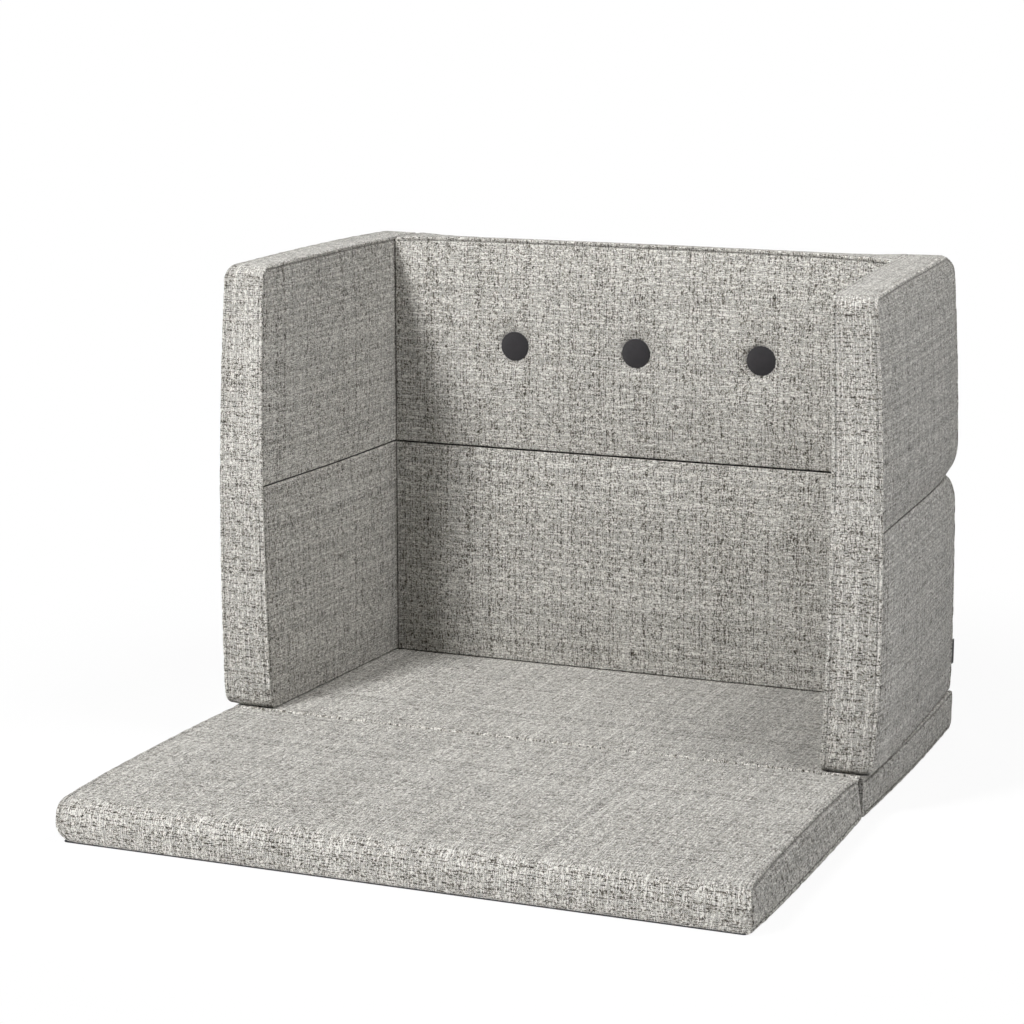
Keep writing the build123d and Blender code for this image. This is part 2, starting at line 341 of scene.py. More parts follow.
def smooth_step(distance: Array, softness: float) -> Array:
    """Step from 0 to 1 round no distance, by a hyperbolic tangent."""
    return 0.5 + 0.5 * np.tanh(distance / softness)


def quarter_round(distance: Array, radius: float) -> Array:
    """How far a unit quarter circle has fallen back, 1 at no distance and 0 at its radius."""
    share = np.clip(1 - distance / radius, 0, 1)
    return 1 - np.sqrt(np.maximum(1 - share**2, 0))


@dataclass(frozen=True)
class WallWarp(Warp):
    """How the arms stand out sideways, as soft walls do.

    The inner face bows out by a parabola of the height, most at the tier, and
    less towards the back. The outer face follows a flatter parabola that leans
    in at the top. At the rear it stands out further, more so near the foot. Its
    corners fall back by quarter rounds: at the top, more towards the rear, and
    at the tier only near the rear, where the tops of the arms also rise. The
    line between the tiers sags inside by a sine of the depth, and at the front
    of the left arm.
    """

    inner_bow: float = 5 * MM
    inner_reach: float = 240 * MM
    inner_depth_share: float = 0.8
    outer_peak: float = 4 * MM
    outer_fall: float = 11.5 * MM
    outer_peak_z: float = 200 * MM
    outer_reach: float = 330 * MM
    rear_swell: float = 5 * MM
    low_rear_swell: float = 2 * MM
    swell_change: float = 20 * MM
    rear_foot_swell: float = 4 * MM
    rear_foot_reach: float = 150 * MM
    corner_radius: float = 19 * MM
    tier_radius: float = 36 * MM
    top_corner: float = 5 * MM
    rear_corner: float = 17 * MM
    rear_power: int = 6
    rear_rise: float = 3.6 * MM
    inner_sag: float = 2.4 * MM
    tier_sag: float = 4 * MM
    left_sag: float = 3 * MM
    tier_reach: float = 60 * MM
    foot_corner: float = 6 * MM
    foot_lean: float = 4 * MM
    foot_reach: float = 60 * MM
    front_power: int = 4
    across_power: int = 3
    high_power: int = 6

    def moves(self, points: Array, across: Array) -> Array:
        """Outward moves, mixed from those of the inner and the outer face.

        Args:
            points: places in the frame's axes, n by 3.
            across: share of the block's thickness at each, from 0 to 1.

        Returns:
            Moves, n by 3.
        """
        z = points[:, 2]
        back = np.clip((points[:, 1] - SIZES.fold_y) / SIZES.base_depth, 0, 1)
        inner = self.inner_bow * (1 - ((z - SIZES.tier_z) / self.inner_reach) ** 2)
        inner = inner * np.clip(1 - back / self.inner_depth_share, 0, 1)
        outer = self.outer_peak
        outer = outer - self.outer_fall * ((z - self.outer_peak_z) / self.outer_reach) ** 2
        foot = bell(z, self.rear_foot_reach)
        upper = smooth_step(z - SIZES.tier_z, self.swell_change)
        rear_swell = self.low_rear_swell + (self.rear_swell - self.low_rear_swell) * upper
        outer = outer + back * (rear_swell + self.rear_foot_swell * foot)
        rear = back**self.rear_power
        at_top = quarter_round(SIZES.top_z - z, self.corner_radius)
        at_tier = quarter_round(np.abs(z - SIZES.tier_z), self.tier_radius)
        corner = at_top * (self.top_corner + (self.rear_corner - self.top_corner) * rear)
        corner = corner + at_tier * self.rear_corner * rear
        above_foot = z - SIZES.lower_foot_z
        at_foot = self.foot_corner * quarter_round(above_foot, self.corner_radius)
        lean = np.where(points[:, 0] > 0, self.foot_lean, 0) * bell(above_foot, self.foot_reach)
        front = (1 - back) ** self.front_power
        corner = corner + (at_foot + lean) * front
        total = np.zeros_like(points)
        sideways = inner * (1 - across) + outer * across - corner * across**self.across_power
        total[:, 0] = np.sign(points[:, 0]) * sideways
        high = np.clip((z - SIZES.tier_z) / SIZES.upper_height, 0, 1)
        near_tier = bell(z - SIZES.tier_z, self.tier_reach)
        inner_sag = self.inner_sag * np.sin(math.pi * np.clip(back / self.inner_depth_share, 0, 1))
        sag = inner_sag * (1 - across) ** 2 + self.tier_sag * (back * across) ** 2
        sag = sag + np.where(points[:, 0] < 0, self.left_sag, 0) * front
        total[:, 2] = self.rear_rise * back * high**self.high_power - sag * near_tier
        return total


@dataclass(frozen=True)
class BackWarp(Warp):
    """How the top of the upper back stands up at its front and at its ends.

    It moves by the sixth power of the share of the height, evenly from the
    rear to the front, and mixed towards the ends' own moves by an exponential
    of the distance from them.
    """

    front_rise: float = 6 * MM
    rear_rise: float = -2 * MM
    front_end_rise: float = 3 * MM
    right_end_rise: float = 0.5 * MM
    rear_end_rise: float = 2.5 * MM
    end_reach: float = 35 * MM
    power: int = 6

    def moves(self, points: Array, across: Array) -> Array:
        """Upward moves of the top.

        Args:
            points: places in the frame's axes, n by 3.
            across: share of the block's thickness at each, from 0 to 1.

        Returns:
            Moves, n by 3.
        """
        high = np.clip((points[:, 2] - SIZES.tier_z) / SIZES.upper_height, 0, 1)
        half = SIZES.inner_half_width(SIZES.back_front_y)
        ends = np.exp(-np.maximum(half - np.abs(points[:, 0]), 0) / self.end_reach)
        end_rise = np.where(points[:, 0] > 0, self.right_end_rise, self.front_end_rise)
        front = self.front_rise + (end_rise - self.front_rise) * ends
        rear = self.rear_rise + (self.rear_end_rise - self.rear_rise) * ends
        total = np.zeros_like(points)
        total[:, 2] = (front * across + rear * (1 - across)) * high**self.power
        return total


@dataclass(frozen=True)
class MatWarp(Warp):
    """How a mat's ends and nose stand out, most near the floor at the nose.

    Both grow with a power of the share towards the side, so that the middle
    stays. The ends swell along the depth by one minus an exponential of the
    distance from the fold, or by a sine if the mat has no nose. The right end
    leans inwards at the top, and both ends tuck in by quarter rounds at the
    nose.
    """

    low_y: float
    high_y: float
    end_swell: float
    nose_reach: float = 0.0
    nose_sag: float = 0.0
    right_lean: float = 0.0
    nose_tuck: float = 0.0
    rise: float = 80 * MM
    lean_rise: float = 25 * MM
    lean_fade: float = 0.5
    nose_fade: float = 0.6
    tuck_radius: float = 22 * MM
    top_tuck_share: float = 0.25
    right_tuck_share: float = 0.35
    power: int = 8

    def moves(self, points: Array, across: Array) -> Array:
        """Moves outwards at the ends, forwards and down at the nose.

        Args:
            points: places in the frame's axes, n by 3.
            across: share of the block's thickness at each, from 0 to 1.

        Returns:
            Moves, n by 3.
        """
        sideways = 2 * across - 1
        depth = self.high_y - self.low_y
        ahead = np.clip((self.high_y - points[:, 1]) / depth, 0, 1)
        if self.nose_reach:
            along = 1 - np.exp(-ahead * depth / self.rise)
        else:
            along = np.sin(math.pi * ahead)
        nose = ahead**self.power
        high = np.clip(points[:, 2] / SIZES.mat_height, 0, 1)
        lean = np.where(sideways > 0, self.right_lean, 0) * high
        lean = lean * (1 - self.lean_fade * np.exp(-ahead * depth / self.lean_rise))
        lean = lean * (1 - self.nose_fade * nose)
        below = quarter_round(points[:, 2], self.tuck_radius)
        above = quarter_round(SIZES.mat_height - points[:, 2], self.tuck_radius)
        tuck = self.nose_tuck * (below + self.top_tuck_share * above) * nose
        tuck = tuck * np.where(sideways > 0, self.right_tuck_share, 1)
        total = np.zeros_like(points)
        outward = self.end_swell * along - lean - tuck
        total[:, 0] = outward * np.sign(sideways) * sideways**self.power
        total[:, 1] = -self.nose_reach * nose
        total[:, 2] = -self.nose_sag * nose * (1 - high)
        return total


@dataclass(frozen=True)
class Plane:
    """A block's own plane: X along, Y up and Z across its thickness."""

    origin: Triple
    along: Triple
    across: Triple
    mirrored: bool = False

    def to_world(self, points: Array) -> Array:
        """Turns places in the plane into the frame's axes.

        Args:
            points: places in the plane, n by 3.

        Returns:
            Places, n by 3.
        """
        along = np.array(self.along)
        across = np.array(self.across)
        up = np.cross(across, along)
        world = np.array(self.origin) + points @ np.array([along, up, across])
        return world * [-1, 1, 1] if self.mirrored else world


@dataclass(frozen=True)
class Seam:
    """Cross-section of a sewn edge, as moves along the outward normal.

    The place across the edge is an arc length, 0 on the edge's middle, towards
    the panel above 0 and towards the strip below 0. The relief is a raised
    welt, a stitched groove beside it on the panel and a shallow groove on the
    strip, each a bell curve of the distance from its own middle.
    """

    ease: float = 3 * MM
    welt_rise: float = 0.8 * MM
    welt_at: float = 0.7 * MM
    welt_width: float = 1.3 * MM
    groove_depth: float = 1.4 * MM
    groove_at: float = 3.9 * MM
    groove_width: float = 0.8 * MM
    strip_depth: float = 0.95 * MM
    strip_at: float = -3.9 * MM
    strip_width: float = 0.8 * MM
    pressed_rise: float = 0.3 * MM
    pressed_at: float = 0.8 * MM
    pressed_width: float = 1.2 * MM
    gap_depth: float = 0.75 * MM
    gap_at: float = -0.8 * MM
    gap_softness: float = 0.5 * MM
    gap_reach: float = 10 * MM
    # Strength of the painted shade in a gap beside a neighbour.
    gap_shade: float = 1.75
    pucker_rise: float = 0.22 * MM
    pucker_reach: float = 11 * MM
    panel_zone: float = 9 * MM
    strip_zone: float = 5 * MM
    step: float = 0.6 * MM

    def relief(self, across: Array) -> Array:
        """Height of the sewing over the plain surface: welt minus both grooves."""
        welt = self.welt_rise * bell(across - self.welt_at, self.welt_width)
        groove = self.groove_depth * bell(across - self.groove_at, self.groove_width)
        strip = self.strip_depth * bell(across - self.strip_at, self.strip_width)
        return welt - groove - strip

    def gap(self, across: Array) -> Array:
        """Share of the gap to a neighbour: a smooth step that a bell curve ends."""
        return smooth_step(self.gap_at - across, self.gap_softness) * bell(across, self.gap_reach)

    def pressed(self, across: Array, open_share: float) -> Array:
        """Height of an edge that a neighbour presses square, less the gap between them."""
        rise = self.pressed_rise * bell(across - self.pressed_at, self.pressed_width)
        return rise - open_share * self.gap_depth * self.gap(across)


@dataclass(frozen=True)
class Dome:
    """A panel's rise over a rectangle of its own plane.

    It is the crown times a shoulder in each direction. A shoulder is one minus
    the 2.7th power of one minus the share of its reach that a point lies
    inside the rectangle's edge.
    """

    left: float
    right: float
    low: float
    high: float
    crown: float
    reach_share: float = 0.36
    shoulder_power: float = 2.7

    def rise(self, x: Array, y: Array) -> Array:
        """Height of the dome at points of the panel.

        Args:
            x: places along the panel.
            y: places up the panel.

        Returns:
            Heights.
        """
        reach = self.reach_share * min(self.right - self.left, self.high - self.low)
        shoulders = []
        for inside in (np.minimum(x - self.left, self.right - x),
                       np.minimum(y - self.low, self.high - y)):
            share = np.clip(inside / reach, 0, 1)
            shoulders.append(1 - (1 - share) ** self.shoulder_power)
        return self.crown * shoulders[0] * shoulders[1]


@dataclass(frozen=True)
class Tufts:
    """Dimples where buttons pull a panel in, with creases that fan out from them.

    A dimple falls with the square of one minus its radius share, and drops by
    a smooth step under the button's rim. A crease is a cosine of the angle,
    raised to a power so that it is narrow, and fades with the distance from
    the rim.
    """

    places: tuple[tuple[float, float], ...]
    depth: float = 7 * MM
    reach: float = 42 * MM
    rim_depth: float = 3.5 * MM
    rim_reach: float = 18.8 * MM
    rim_softness: float = 1.6 * MM
    crease_depth: float = 1.0 * MM
    crease_reach: float = 15 * MM
    crease_start: float = 13 * MM
    crease_count: int = 5
    crease_power: int = 6
    crease_turn: float = 0.5
    upward_share: float = 0.3

    def drop(self, x: Array, y: Array) -> Array:
        """Depth of the dimples and creases at points of the panel.

        Args:
            x: places along the panel.
            y: places up the panel.

        Returns:
            Depths.
        """
        total = np.zeros_like(x)
        for number, (centre_x, centre_y) in enumerate(self.places):
            radius = np.hypot(x - centre_x, y - centre_y)
            angle = np.arctan2(y - centre_y, x - centre_x) - math.pi / 2 + self.crease_turn * number
            share = np.clip(1 - radius / self.reach, 0, 1)
            fan = np.abs(np.cos(self.crease_count * angle / 2)) ** self.crease_power
            fan = fan * (1 - self.upward_share + self.upward_share * np.cos(angle))
            away = bell(np.maximum(radius - self.crease_start, 0), self.crease_reach)
            inner = np.clip(radius / self.crease_start, 0, 1) ** 2
            rim = smooth_step(self.rim_reach - radius, self.rim_softness)
            total += self.depth * share**2 + self.rim_depth * rim
            total += self.crease_depth * fan * away * inner
        return total


@dataclass(frozen=True)
class Block:
    """One foam block in its cover, in its own plane.

    It is centred on X, stands on Y 0 and runs from Z 0 to thick. The lengths
    are those at Z 0 and at thick. Rounds and bows start at the left lower
    corner and at the lower side, both anticlockwise.
    """

    name: str
    body: Body
    plane: Plane
    lengths: tuple[float, float]
    height: float
    thick: float
    rounds: tuple[float, float, float, float]
    seed: int
    bows: tuple[float, float, float, float] = (0.0, 0.0, 0.0, 0.0)
    near_domes: tuple[Dome, ...] = ()
    far_domes: tuple[Dome, ...] = ()
    tufts: Tufts | None = None
    strip_domes: tuple[Dome, ...] = ()
    still_sides: tuple[int, ...] = ()
    still_from: float = math.inf
    warp: Warp = Warp()
    column_step: float = 3 * MM
    panel_step: float = 6 * MM
    strip_step: float = 6 * MM
    swell_share: float = 1.0
    gap_share: float = 1.0
    # Share of the painted shade in the gaps beside neighbours.
    painted_gap_shade: float = 1.0
    cloth_step = (173 * MM, 311 * MM)

    @property
    def cloth_shift(self) -> tuple[float, float]:
        """Where the cover is cut from the cloth: a place of its own for each seed."""
        return self.cloth_step[0] * self.seed, self.cloth_step[1] * self.seed

    @property
    def deepest(self) -> float:
        """How far in the middle line of a panel lies."""
        return min(*self.lengths, self.height) / 2

    def length(self, z: Array) -> Array:
        """Length of the block at places across its thickness."""
        return np.interp(z, [0, self.thick], self.lengths)

    def gaps(self, points: Array) -> list[Array]:
        """Distances of points from the four sides, in the order of the sides."""
        x, y = points[..., 0], points[..., 1]
        half = self.length(points[..., 2]) / 2
        return [y, half - x, self.height - y, half + x]

    def to_world(self, points: Array) -> Array:
        """Points of the block's own plane, warped, in the frame's axes."""
        world = self.plane.to_world(points)
        return world + self.warp.moves(world, np.clip(points[:, 2] / self.thick, 0, 1))


class Outline:
    """A block's rounded outline as columns of points, at any inset.

    A straight side is the line between its corners' ends, bowed outwards by
    its bow times 4 t (1 - t), and a corner is a quarter circle. Both shrink to
    the panel's middle line as the inset grows.
    """

    corner_steps = 6
    least_columns = 4
    least_round_share = 0.35

    def __init__(self, block: Block, column_step: float) -> None:
        """Settles how many columns each side has.

        Args:
            block: the block whose outline it is.
            column_step: spacing of the columns along a side.
        """
        self.block = block
        across = max(self.least_columns, round(max(block.lengths) / column_step))
        upwards = max(self.least_columns, round(block.height / column_step))
        self.counts = (across, upwards, across, upwards)
        self.columns = sum(self.counts) + 4 * self.corner_steps

    def free(self) -> Array:
        """Share of free sewing at each column: 0 on sides that rest on something.

        It runs from one side's share to the next one's over their corner.

        Returns:
            Shares, one a column.
        """
        shares = [float(side not in self.block.still_sides) for side in range(4)]
        parts = []
        for side in range(4):
            parts.append(np.full(self.counts[side], shares[side]))
            turn = np.arange(self.corner_steps) / self.corner_steps
            parts.append(shares[side] + (shares[(side + 1) % 4] - shares[side]) * turn)
        return np.concatenate(parts)

    def rounds(self, inset: Array) -> list[Array]:
        """Radius of each corner at an inset: less by the inset, and never none."""
        least = self.least_round_share * (1 - inset / self.block.deepest)
        return [np.maximum(radius - inset, radius * least) for radius in self.block.rounds]

    def rings(self, inset: Array, length: Array) -> Array:
        """Points of the outline at each inset.

        Args:
            inset: how far in each row lies.
            length: the block's length at each row.

        Returns:
            Rows by columns by 2.
        """
        block = self.block
        half = length / 2 - inset
        low, high = inset, block.height - inset
        corners = [(-half, low), (half, low), (half, high), (-half, high)]
        along = [(1, 0), (0, 1), (-1, 0), (0, -1)]
        radii = self.rounds(inset)
        fade = 1 - inset / block.deepest
        parts = []
        for side in range(4):
            after = (side + 1) % 4
            t = np.arange(self.counts[side]) / self.counts[side]
            turn = np.arange(self.corner_steps) / self.corner_steps * math.pi / 2
            angle = turn + math.pi / 2 * (side - 1)
            outward = along[side][1], -along[side][0]
            for axis in range(2):
                start = corners[side][axis] + along[side][axis] * radii[side]
                end = corners[after][axis] - along[side][axis] * radii[after]
                bow = block.bows[side] * outward[axis] * np.outer(fade, 4 * t * (1 - t))
                straight = start[:, None] + np.outer(end - start, t) + bow
                centre = end + along[after][axis] * radii[after]
                wave = np.cos(angle) if axis == 0 else np.sin(angle)
                rounded = centre[:, None] + np.outer(radii[after], wave)
                parts.append(np.concatenate([straight, rounded], 1))
        xs = np.concatenate(parts[0::2], 1)
        ys = np.concatenate(parts[1::2], 1)
        return np.stack([xs, ys], -1)


@dataclass
class Profile:
    """Rows of a block: a path from one panel's middle line to the other's.

    For each row it holds the inset from the outline, the height above Z 0, the
    outward normal in those two, the arc length from the nearer edge's middle
    and the zone: -1 on the near panel, 0 on the strip and 1 on the far panel.
    """

    inset: Array
    z: Array
    normal_in: Array
    normal_z: Array
    across: Array
    zone: Array
    turn_rows = 8
    plain_turn_rows = 3
    least_rows = 2

    @classmethod
    def of(cls, block: Block, seam: Seam, fine: bool) -> "Profile":
        """Lays out the rows of a block.

        Args:
            block: the block.
            seam: the sewn edge, which sets how close rows lie near it.
            fine: close rows at the seams, or a plain rounded edge.

        Returns:
            The profile from the near panel's middle line to the far one's.
        """
        quarter = math.pi / 4 * seam.ease
        near = seam.ease + (seam.panel_zone if fine else 0)
        panel_rows = max(cls.least_rows, math.ceil((block.deepest - near) / block.panel_step))
        panel = np.linspace(block.deepest, near, panel_rows, endpoint=False)
        if fine:
            close_rows = round(seam.panel_zone / seam.step)
            panel = np.append(panel, np.linspace(near, seam.ease, close_rows, endpoint=False))
        turn = np.linspace(math.pi / 2, 0, cls.turn_rows if fine else cls.plain_turn_rows)
        strip_from = seam.ease + (seam.strip_zone if fine else 0)
        half_strip = block.thick / 2 - strip_from
        strip_rows = max(cls.least_rows, math.ceil(half_strip / block.strip_step))
        strip = np.linspace(block.thick / 2, strip_from, strip_rows, endpoint=False)[::-1]
        if fine:
            close_rows = round(seam.strip_zone / seam.step)
            close = np.linspace(seam.ease, strip_from, close_rows + 1)[1:]
            strip = np.append(close, strip)
        inset = np.concatenate([panel, seam.ease * (1 - np.cos(turn)), np.zeros(len(strip))])
        z = np.concatenate([np.zeros(len(panel)), seam.ease * (1 - np.sin(turn)), strip])
        normal_in = np.concatenate([np.zeros(len(panel)), -np.cos(turn), -np.ones(len(strip))])
        normal_z = np.concatenate([-np.ones(len(panel)), -np.sin(turn), np.zeros(len(strip))])
        across = np.concatenate([panel - seam.ease + quarter,
                                 seam.ease * turn - quarter,
                                 seam.ease - strip - quarter])
        zone = np.where(across > 0, -1, 0)
        back = slice(-2, None, -1)
        return cls(
            np.append(inset, inset[back]),
            np.append(z, block.thick - z[back]),
            np.append(normal_in, normal_in[back]),
            np.append(normal_z, -normal_z[back]),
            np.append(across, across[back]),
            np.append(zone, -zone[back]),
        )


class MoveField:
    """Moves of scattered points, averaged onto a grid of cells.

    Each point gives its move to the eight corners of its cell with trilinear
    weights, and a corner keeps the sums of weight and of weighted moves. A
    move read anywhere is the ratio of the two sums, blended the same way.
    """

    margin = 2
    least_weight = 1e-9

    def __init__(self, points: Array, moves: Array, cell: float) -> None:
        """Spreads the moves over the grid.

        Args:
            points: where the moves were measured, n by 3.
            moves: the moves, n by 3.
            cell: edge of a cell.
        """
        self.cell = cell
        self.low = points.min(0) - self.margin * cell
        span = (points.max(0) - self.low) / cell
        self.shape = np.ceil(span).astype(int) + self.margin
        size = int(np.prod(self.shape))
        self.sums = np.zeros((size, 4))
        values = np.column_stack([moves, np.ones(len(moves))])
        for index, weight in self.corners(points):
            for column in range(4):
                self.sums[:, column] += np.bincount(index, weight * values[:, column], size)

    def corners(self, points: Array) -> list[tuple[Array, Array]]:
        """Index and weight of each of the eight grid corners round the points.

        Args:
            points: places, n by 3.

        Returns:
            Eight pairs of index and weight.
        """
        place = (points - self.low) / self.cell
        whole = np.clip(np.floor(place).astype(int), 0, self.shape - 2)
        part = np.clip(place - whole, 0, 1)
        found = []
        for number in range(8):
            step = np.array([number >> 2 & 1, number >> 1 & 1, number & 1])
            weight = np.prod(np.where(step, part, 1 - part), -1)
            index = np.ravel_multi_index((whole + step).T, self.shape)
            found.append((index, weight))
        return found

    def at(self, points: Array) -> Array:
        """Moves at other points, n by 3."""
        total = np.zeros((len(points), 4))
        for index, weight in self.corners(points):
            total += self.sums[index] * weight[:, None]
        return total[:, :3] / np.maximum(total[:, 3:], self.least_weight)


@dataclass(frozen=True)
class Swelling:
    """How the cover of a block swells over its foam, found by cloth simulation.

    A plain copy of the block is remeshed into even cells, its sewn edges and
    the sides that rest on something are pinned, and pressure works on it
    without gravity. Its moves are then scaled so that the largest is the cap.
    """

    voxel: float = 8 * MM
    pressure: float = 4.0
    frames: int = 20
    quality: int = 4
    cap: float = 2.2 * MM
    cell: float = 14 * MM
    pinned_within: float = 6 * MM
    spare_cloth: float = -0.012

    def simulate(self, block: Block, plain: bpy.types.Object) -> MoveField:
        """Runs the cloth on a block.

        Args:
            block: the block whose cover swells.
            plain: its plain closed surface, in its own plane. It is removed.

        Returns:
            The moves, in the block's own plane.
        """
        remesh = plain.modifiers.new("even", "REMESH")
        remesh.mode = "VOXEL"
        remesh.voxel_size = self.voxel
        scene = bpy.context.scene
        graph = bpy.context.evaluated_depsgraph_get()
        even = bpy.data.meshes.new_from_object(plain.evaluated_get(graph))
        plain.modifiers.clear()
        plain.data = even
        rest = coordinates(even)
        pins = plain.vertex_groups.new(name="sewn")
        held = np.flatnonzero(self.held(block, rest))
        pins.add(held.tolist(), 1.0, "REPLACE")
        cloth = plain.modifiers.new("cover", "CLOTH")
        cloth.settings.use_pressure = True
        cloth.settings.uniform_pressure_force = self.pressure
        cloth.settings.vertex_group_mass = pins.name
        cloth.settings.shrink_min = self.spare_cloth
        cloth.settings.effector_weights.gravity = 0
        cloth.settings.quality = self.quality
        cloth.point_cache.frame_end = self.frames
        for frame_number in range(1, self.frames + 1):
            scene.frame_set(frame_number)
        graph = bpy.context.evaluated_depsgraph_get()
        swollen = bpy.data.meshes.new_from_object(plain.evaluated_get(graph))
        moves = coordinates(swollen) - rest
        scene.frame_set(1)
        bpy.data.objects.remove(plain)
        bpy.data.meshes.remove(swollen)
        largest = np.linalg.norm(moves, axis=1).max()
        log.info("cloth on %s: %d points, %.1f mm at most", block.name, len(rest), largest / MM)
        return MoveField(rest, moves * (self.cap / max(largest, self.cap)), self.cell)

    def held(self, block: Block, points: Array) -> Array:
        """Which points are pinned: those near a sewn edge or on a still side.

        Args:
            block: the block.
            points: places in its plane, n by 3.

        Returns:
            Whether each is pinned.
        """
        gaps = block.gaps(points)
        to_panel = np.minimum(points[:, 2], block.thick - points[:, 2])
        sewn = (np.min(gaps, 0) < self.pinned_within) & (to_panel < self.pinned_within)
        for side in block.still_sides:
            sewn |= gaps[side] < self.pinned_within / 2
        return sewn


def coordinates(mesh: bpy.types.Mesh) -> Array:
    """Vertices of a mesh, n by 3."""
    flat = np.zeros(len(mesh.vertices) * 3, np.float32)
    mesh.vertices.foreach_get("co", flat)
    return flat.reshape(-1, 3).astype(float)


@dataclass(frozen=True)
class Cushion:
    """The sewn cover of one foam block, with its stitching."""

    block: Block
    seam: Seam
    swelling: Swelling
    still_reach = 12 * MM
    waves_a_metre = (23, 31, 41, 57)
    far_panel_shift = 370 * MM
    plain_coarseness = 4

    def plain_surface(self) -> bpy.types.Object:
        """A plain closed surface of the block in its own plane, for simulation."""
        outline = Outline(self.block, self.plain_coarseness * self.block.column_step)
        rows = Profile.of(self.block, self.seam, fine=False)
        quads = grid_quads(len(rows.z), outline.columns, wraps=True)
        return mesh_from_quads(self.block.name + "_plain", self.surface(outline, rows), quads)

    def surface(self, outline: Outline, rows: Profile) -> Array:
        """The block's surface without relief, rows by columns by 3."""
        return with_height(outline.rings(rows.inset, self.block.length(rows.z)), rows.z)

    def normals(self, outline: Outline, rows: Profile) -> Array:
        """Outward normals: the outline's own normal and Z, mixed by the profile.

        Args:
            outline: the block's outline.
            rows: the block's profile.

        Returns:
            Rows by columns by 3.
        """
        ring = outline.rings(np.zeros(1), np.array([max(self.block.lengths)]))[0]
        run = np.roll(ring, -1, 0) - np.roll(ring, 1, 0)
        run /= np.linalg.norm(run, axis=1, keepdims=True)
        outward = np.stack([run[:, 1], -run[:, 0]], -1)
        return with_height(-rows.normal_in[:, None, None] * outward[None], rows.normal_z)

    def arc_length(self, outline: Outline) -> Array:
        """Length along the outline at each column, and the whole at the end."""
        ring = outline.rings(np.zeros(1), np.array([self.block.lengths[0]]))[0]
        return run_lengths(np.vstack([ring, ring[:1]]))

    def puckers(self, rows: Profile, arc: Array) -> Array:
        """Fine waves along the seam: sines of its length that fade with distance.

        Args:
            rows: the block's profile.
            arc: length along the outline.

        Returns:
            Heights, rows by columns.
        """
        chance = np.random.default_rng(self.block.seed)
        whole = arc[-1]
        waves = np.zeros((2, len(arc) - 1))
        for number in self.waves_a_metre:
            count = round(number * whole)
            phase = chance.uniform(0, FULL_TURN, 2)[:, None]
            waves += np.sin(FULL_TURN * count * arc[None, :-1] / whole + phase)
        waves /= math.sqrt(len(self.waves_a_metre))
        nearness = bell(rows.across - self.seam.groove_at, self.seam.pucker_reach)
        nearness = nearness * (1 - rows.inset / self.block.deepest)
        far_end = rows.z > self.block.thick / 2
        chosen = np.where(far_end[:, None], waves[1][None], waves[0][None])
        return self.seam.pucker_rise * nearness[:, None] * chosen

    def stillness(self, points: Array) -> Array:
        """Share of free movement: 0 on sides that rest on something, else 1.

        Args:
            points: the block's surface.

        Returns:
            Shares, rows by columns.
        """
        block = self.block
        gaps = block.gaps(points)
        share = np.ones(points.shape[:2])
        for side in block.still_sides:
            share = share * np.clip(gaps[side] / self.still_reach, 0, 1)
        behind = np.clip((block.still_from - points[..., 0]) / self.still_reach, 0, 1)
        near = points[..., 2] < block.thick / 2
        return np.where(near, share * behind, share)

    def rise(self, rows: Profile, points: Array) -> Array:
        """Domes and tufts of both panels and of the strip, along the normals.

        Args:
            rows: the block's profile.
            points: the block's surface.

        Returns:
            Heights, rows by columns.
        """
        block = self.block
        x, y = points[..., 0], points[..., 1]
        total = np.zeros_like(x)
        for zone, domes in ((-1, block.near_domes), (1, block.far_domes)):
            on_panel = (rows.zone == zone)[:, None]
            for dome in domes:
                total += on_panel * dome.rise(x, y)
        if block.tufts is not None:
            total -= (rows.zone == 1)[:, None] * block.tufts.drop(x, y)
        for dome in block.strip_domes:
            on_top = (rows.zone == 0)[:, None] & (y > block.height / 2)
            total += on_top * dome.rise(x, points[..., 2])
        return total

    def build(self) -> tuple[bpy.types.Object, bpy.types.Object | None]:
        """Makes the cover and its stitching in the frame's own axes.

        Returns:
            The cover and the stitching, or None where no side is free.
        """
        block = self.block
        outline = Outline(block, block.column_step)
        rows = Profile.of(block, self.seam, fine=True)
        points = self.surface(outline, rows)
        normals = self.normals(outline, rows)
        arc = self.arc_length(outline)
        stillness = self.stillness(points)
        free = outline.free()
        relief = self.seam.relief(rows.across)[:, None] + self.puckers(rows, arc)
        pressed = self.seam.pressed(rows.across, self.block.gap_share)[:, None]
        total = relief * free + pressed * (1 - free) + self.rise(rows, points)
        if block.swell_share:
            moves = self.swelling.simulate(block, self.plain_surface()).at(points.reshape(-1, 3))
            along = (moves.reshape(points.shape) * normals).sum(-1)
            total += along * stillness * block.swell_share
        cover_points = points + normals * total[..., None]
        cover = mesh_from_quads(
            block.name + "_cushion",
            block.to_world(cover_points.reshape(-1, 3)),
            grid_quads(len(rows.z), outline.columns, wraps=True),
            self.cloth_places(rows, points, arc),
            self.sewing(rows, free),
        )
        sewn = free.max() > Stitching.least_free
        return cover, self.stitch(rows, cover_points, normals, free) if sewn else None

    def sewing(self, rows: Profile, free: Array) -> Array:
        """Relief of the sewing at each vertex, and below -1 the painted shade of a gap beside a
        neighbour.
        """
        sewn = self.seam.relief(rows.across)[:, None] / self.seam.groove_depth
        # Painted shade in the gap beside a neighbour.
        gap = self.seam.gap_shade * self.block.painted_gap_shade * self.seam.gap(rows.across)[:, None]
        return sewn * free - gap * (1 - free)

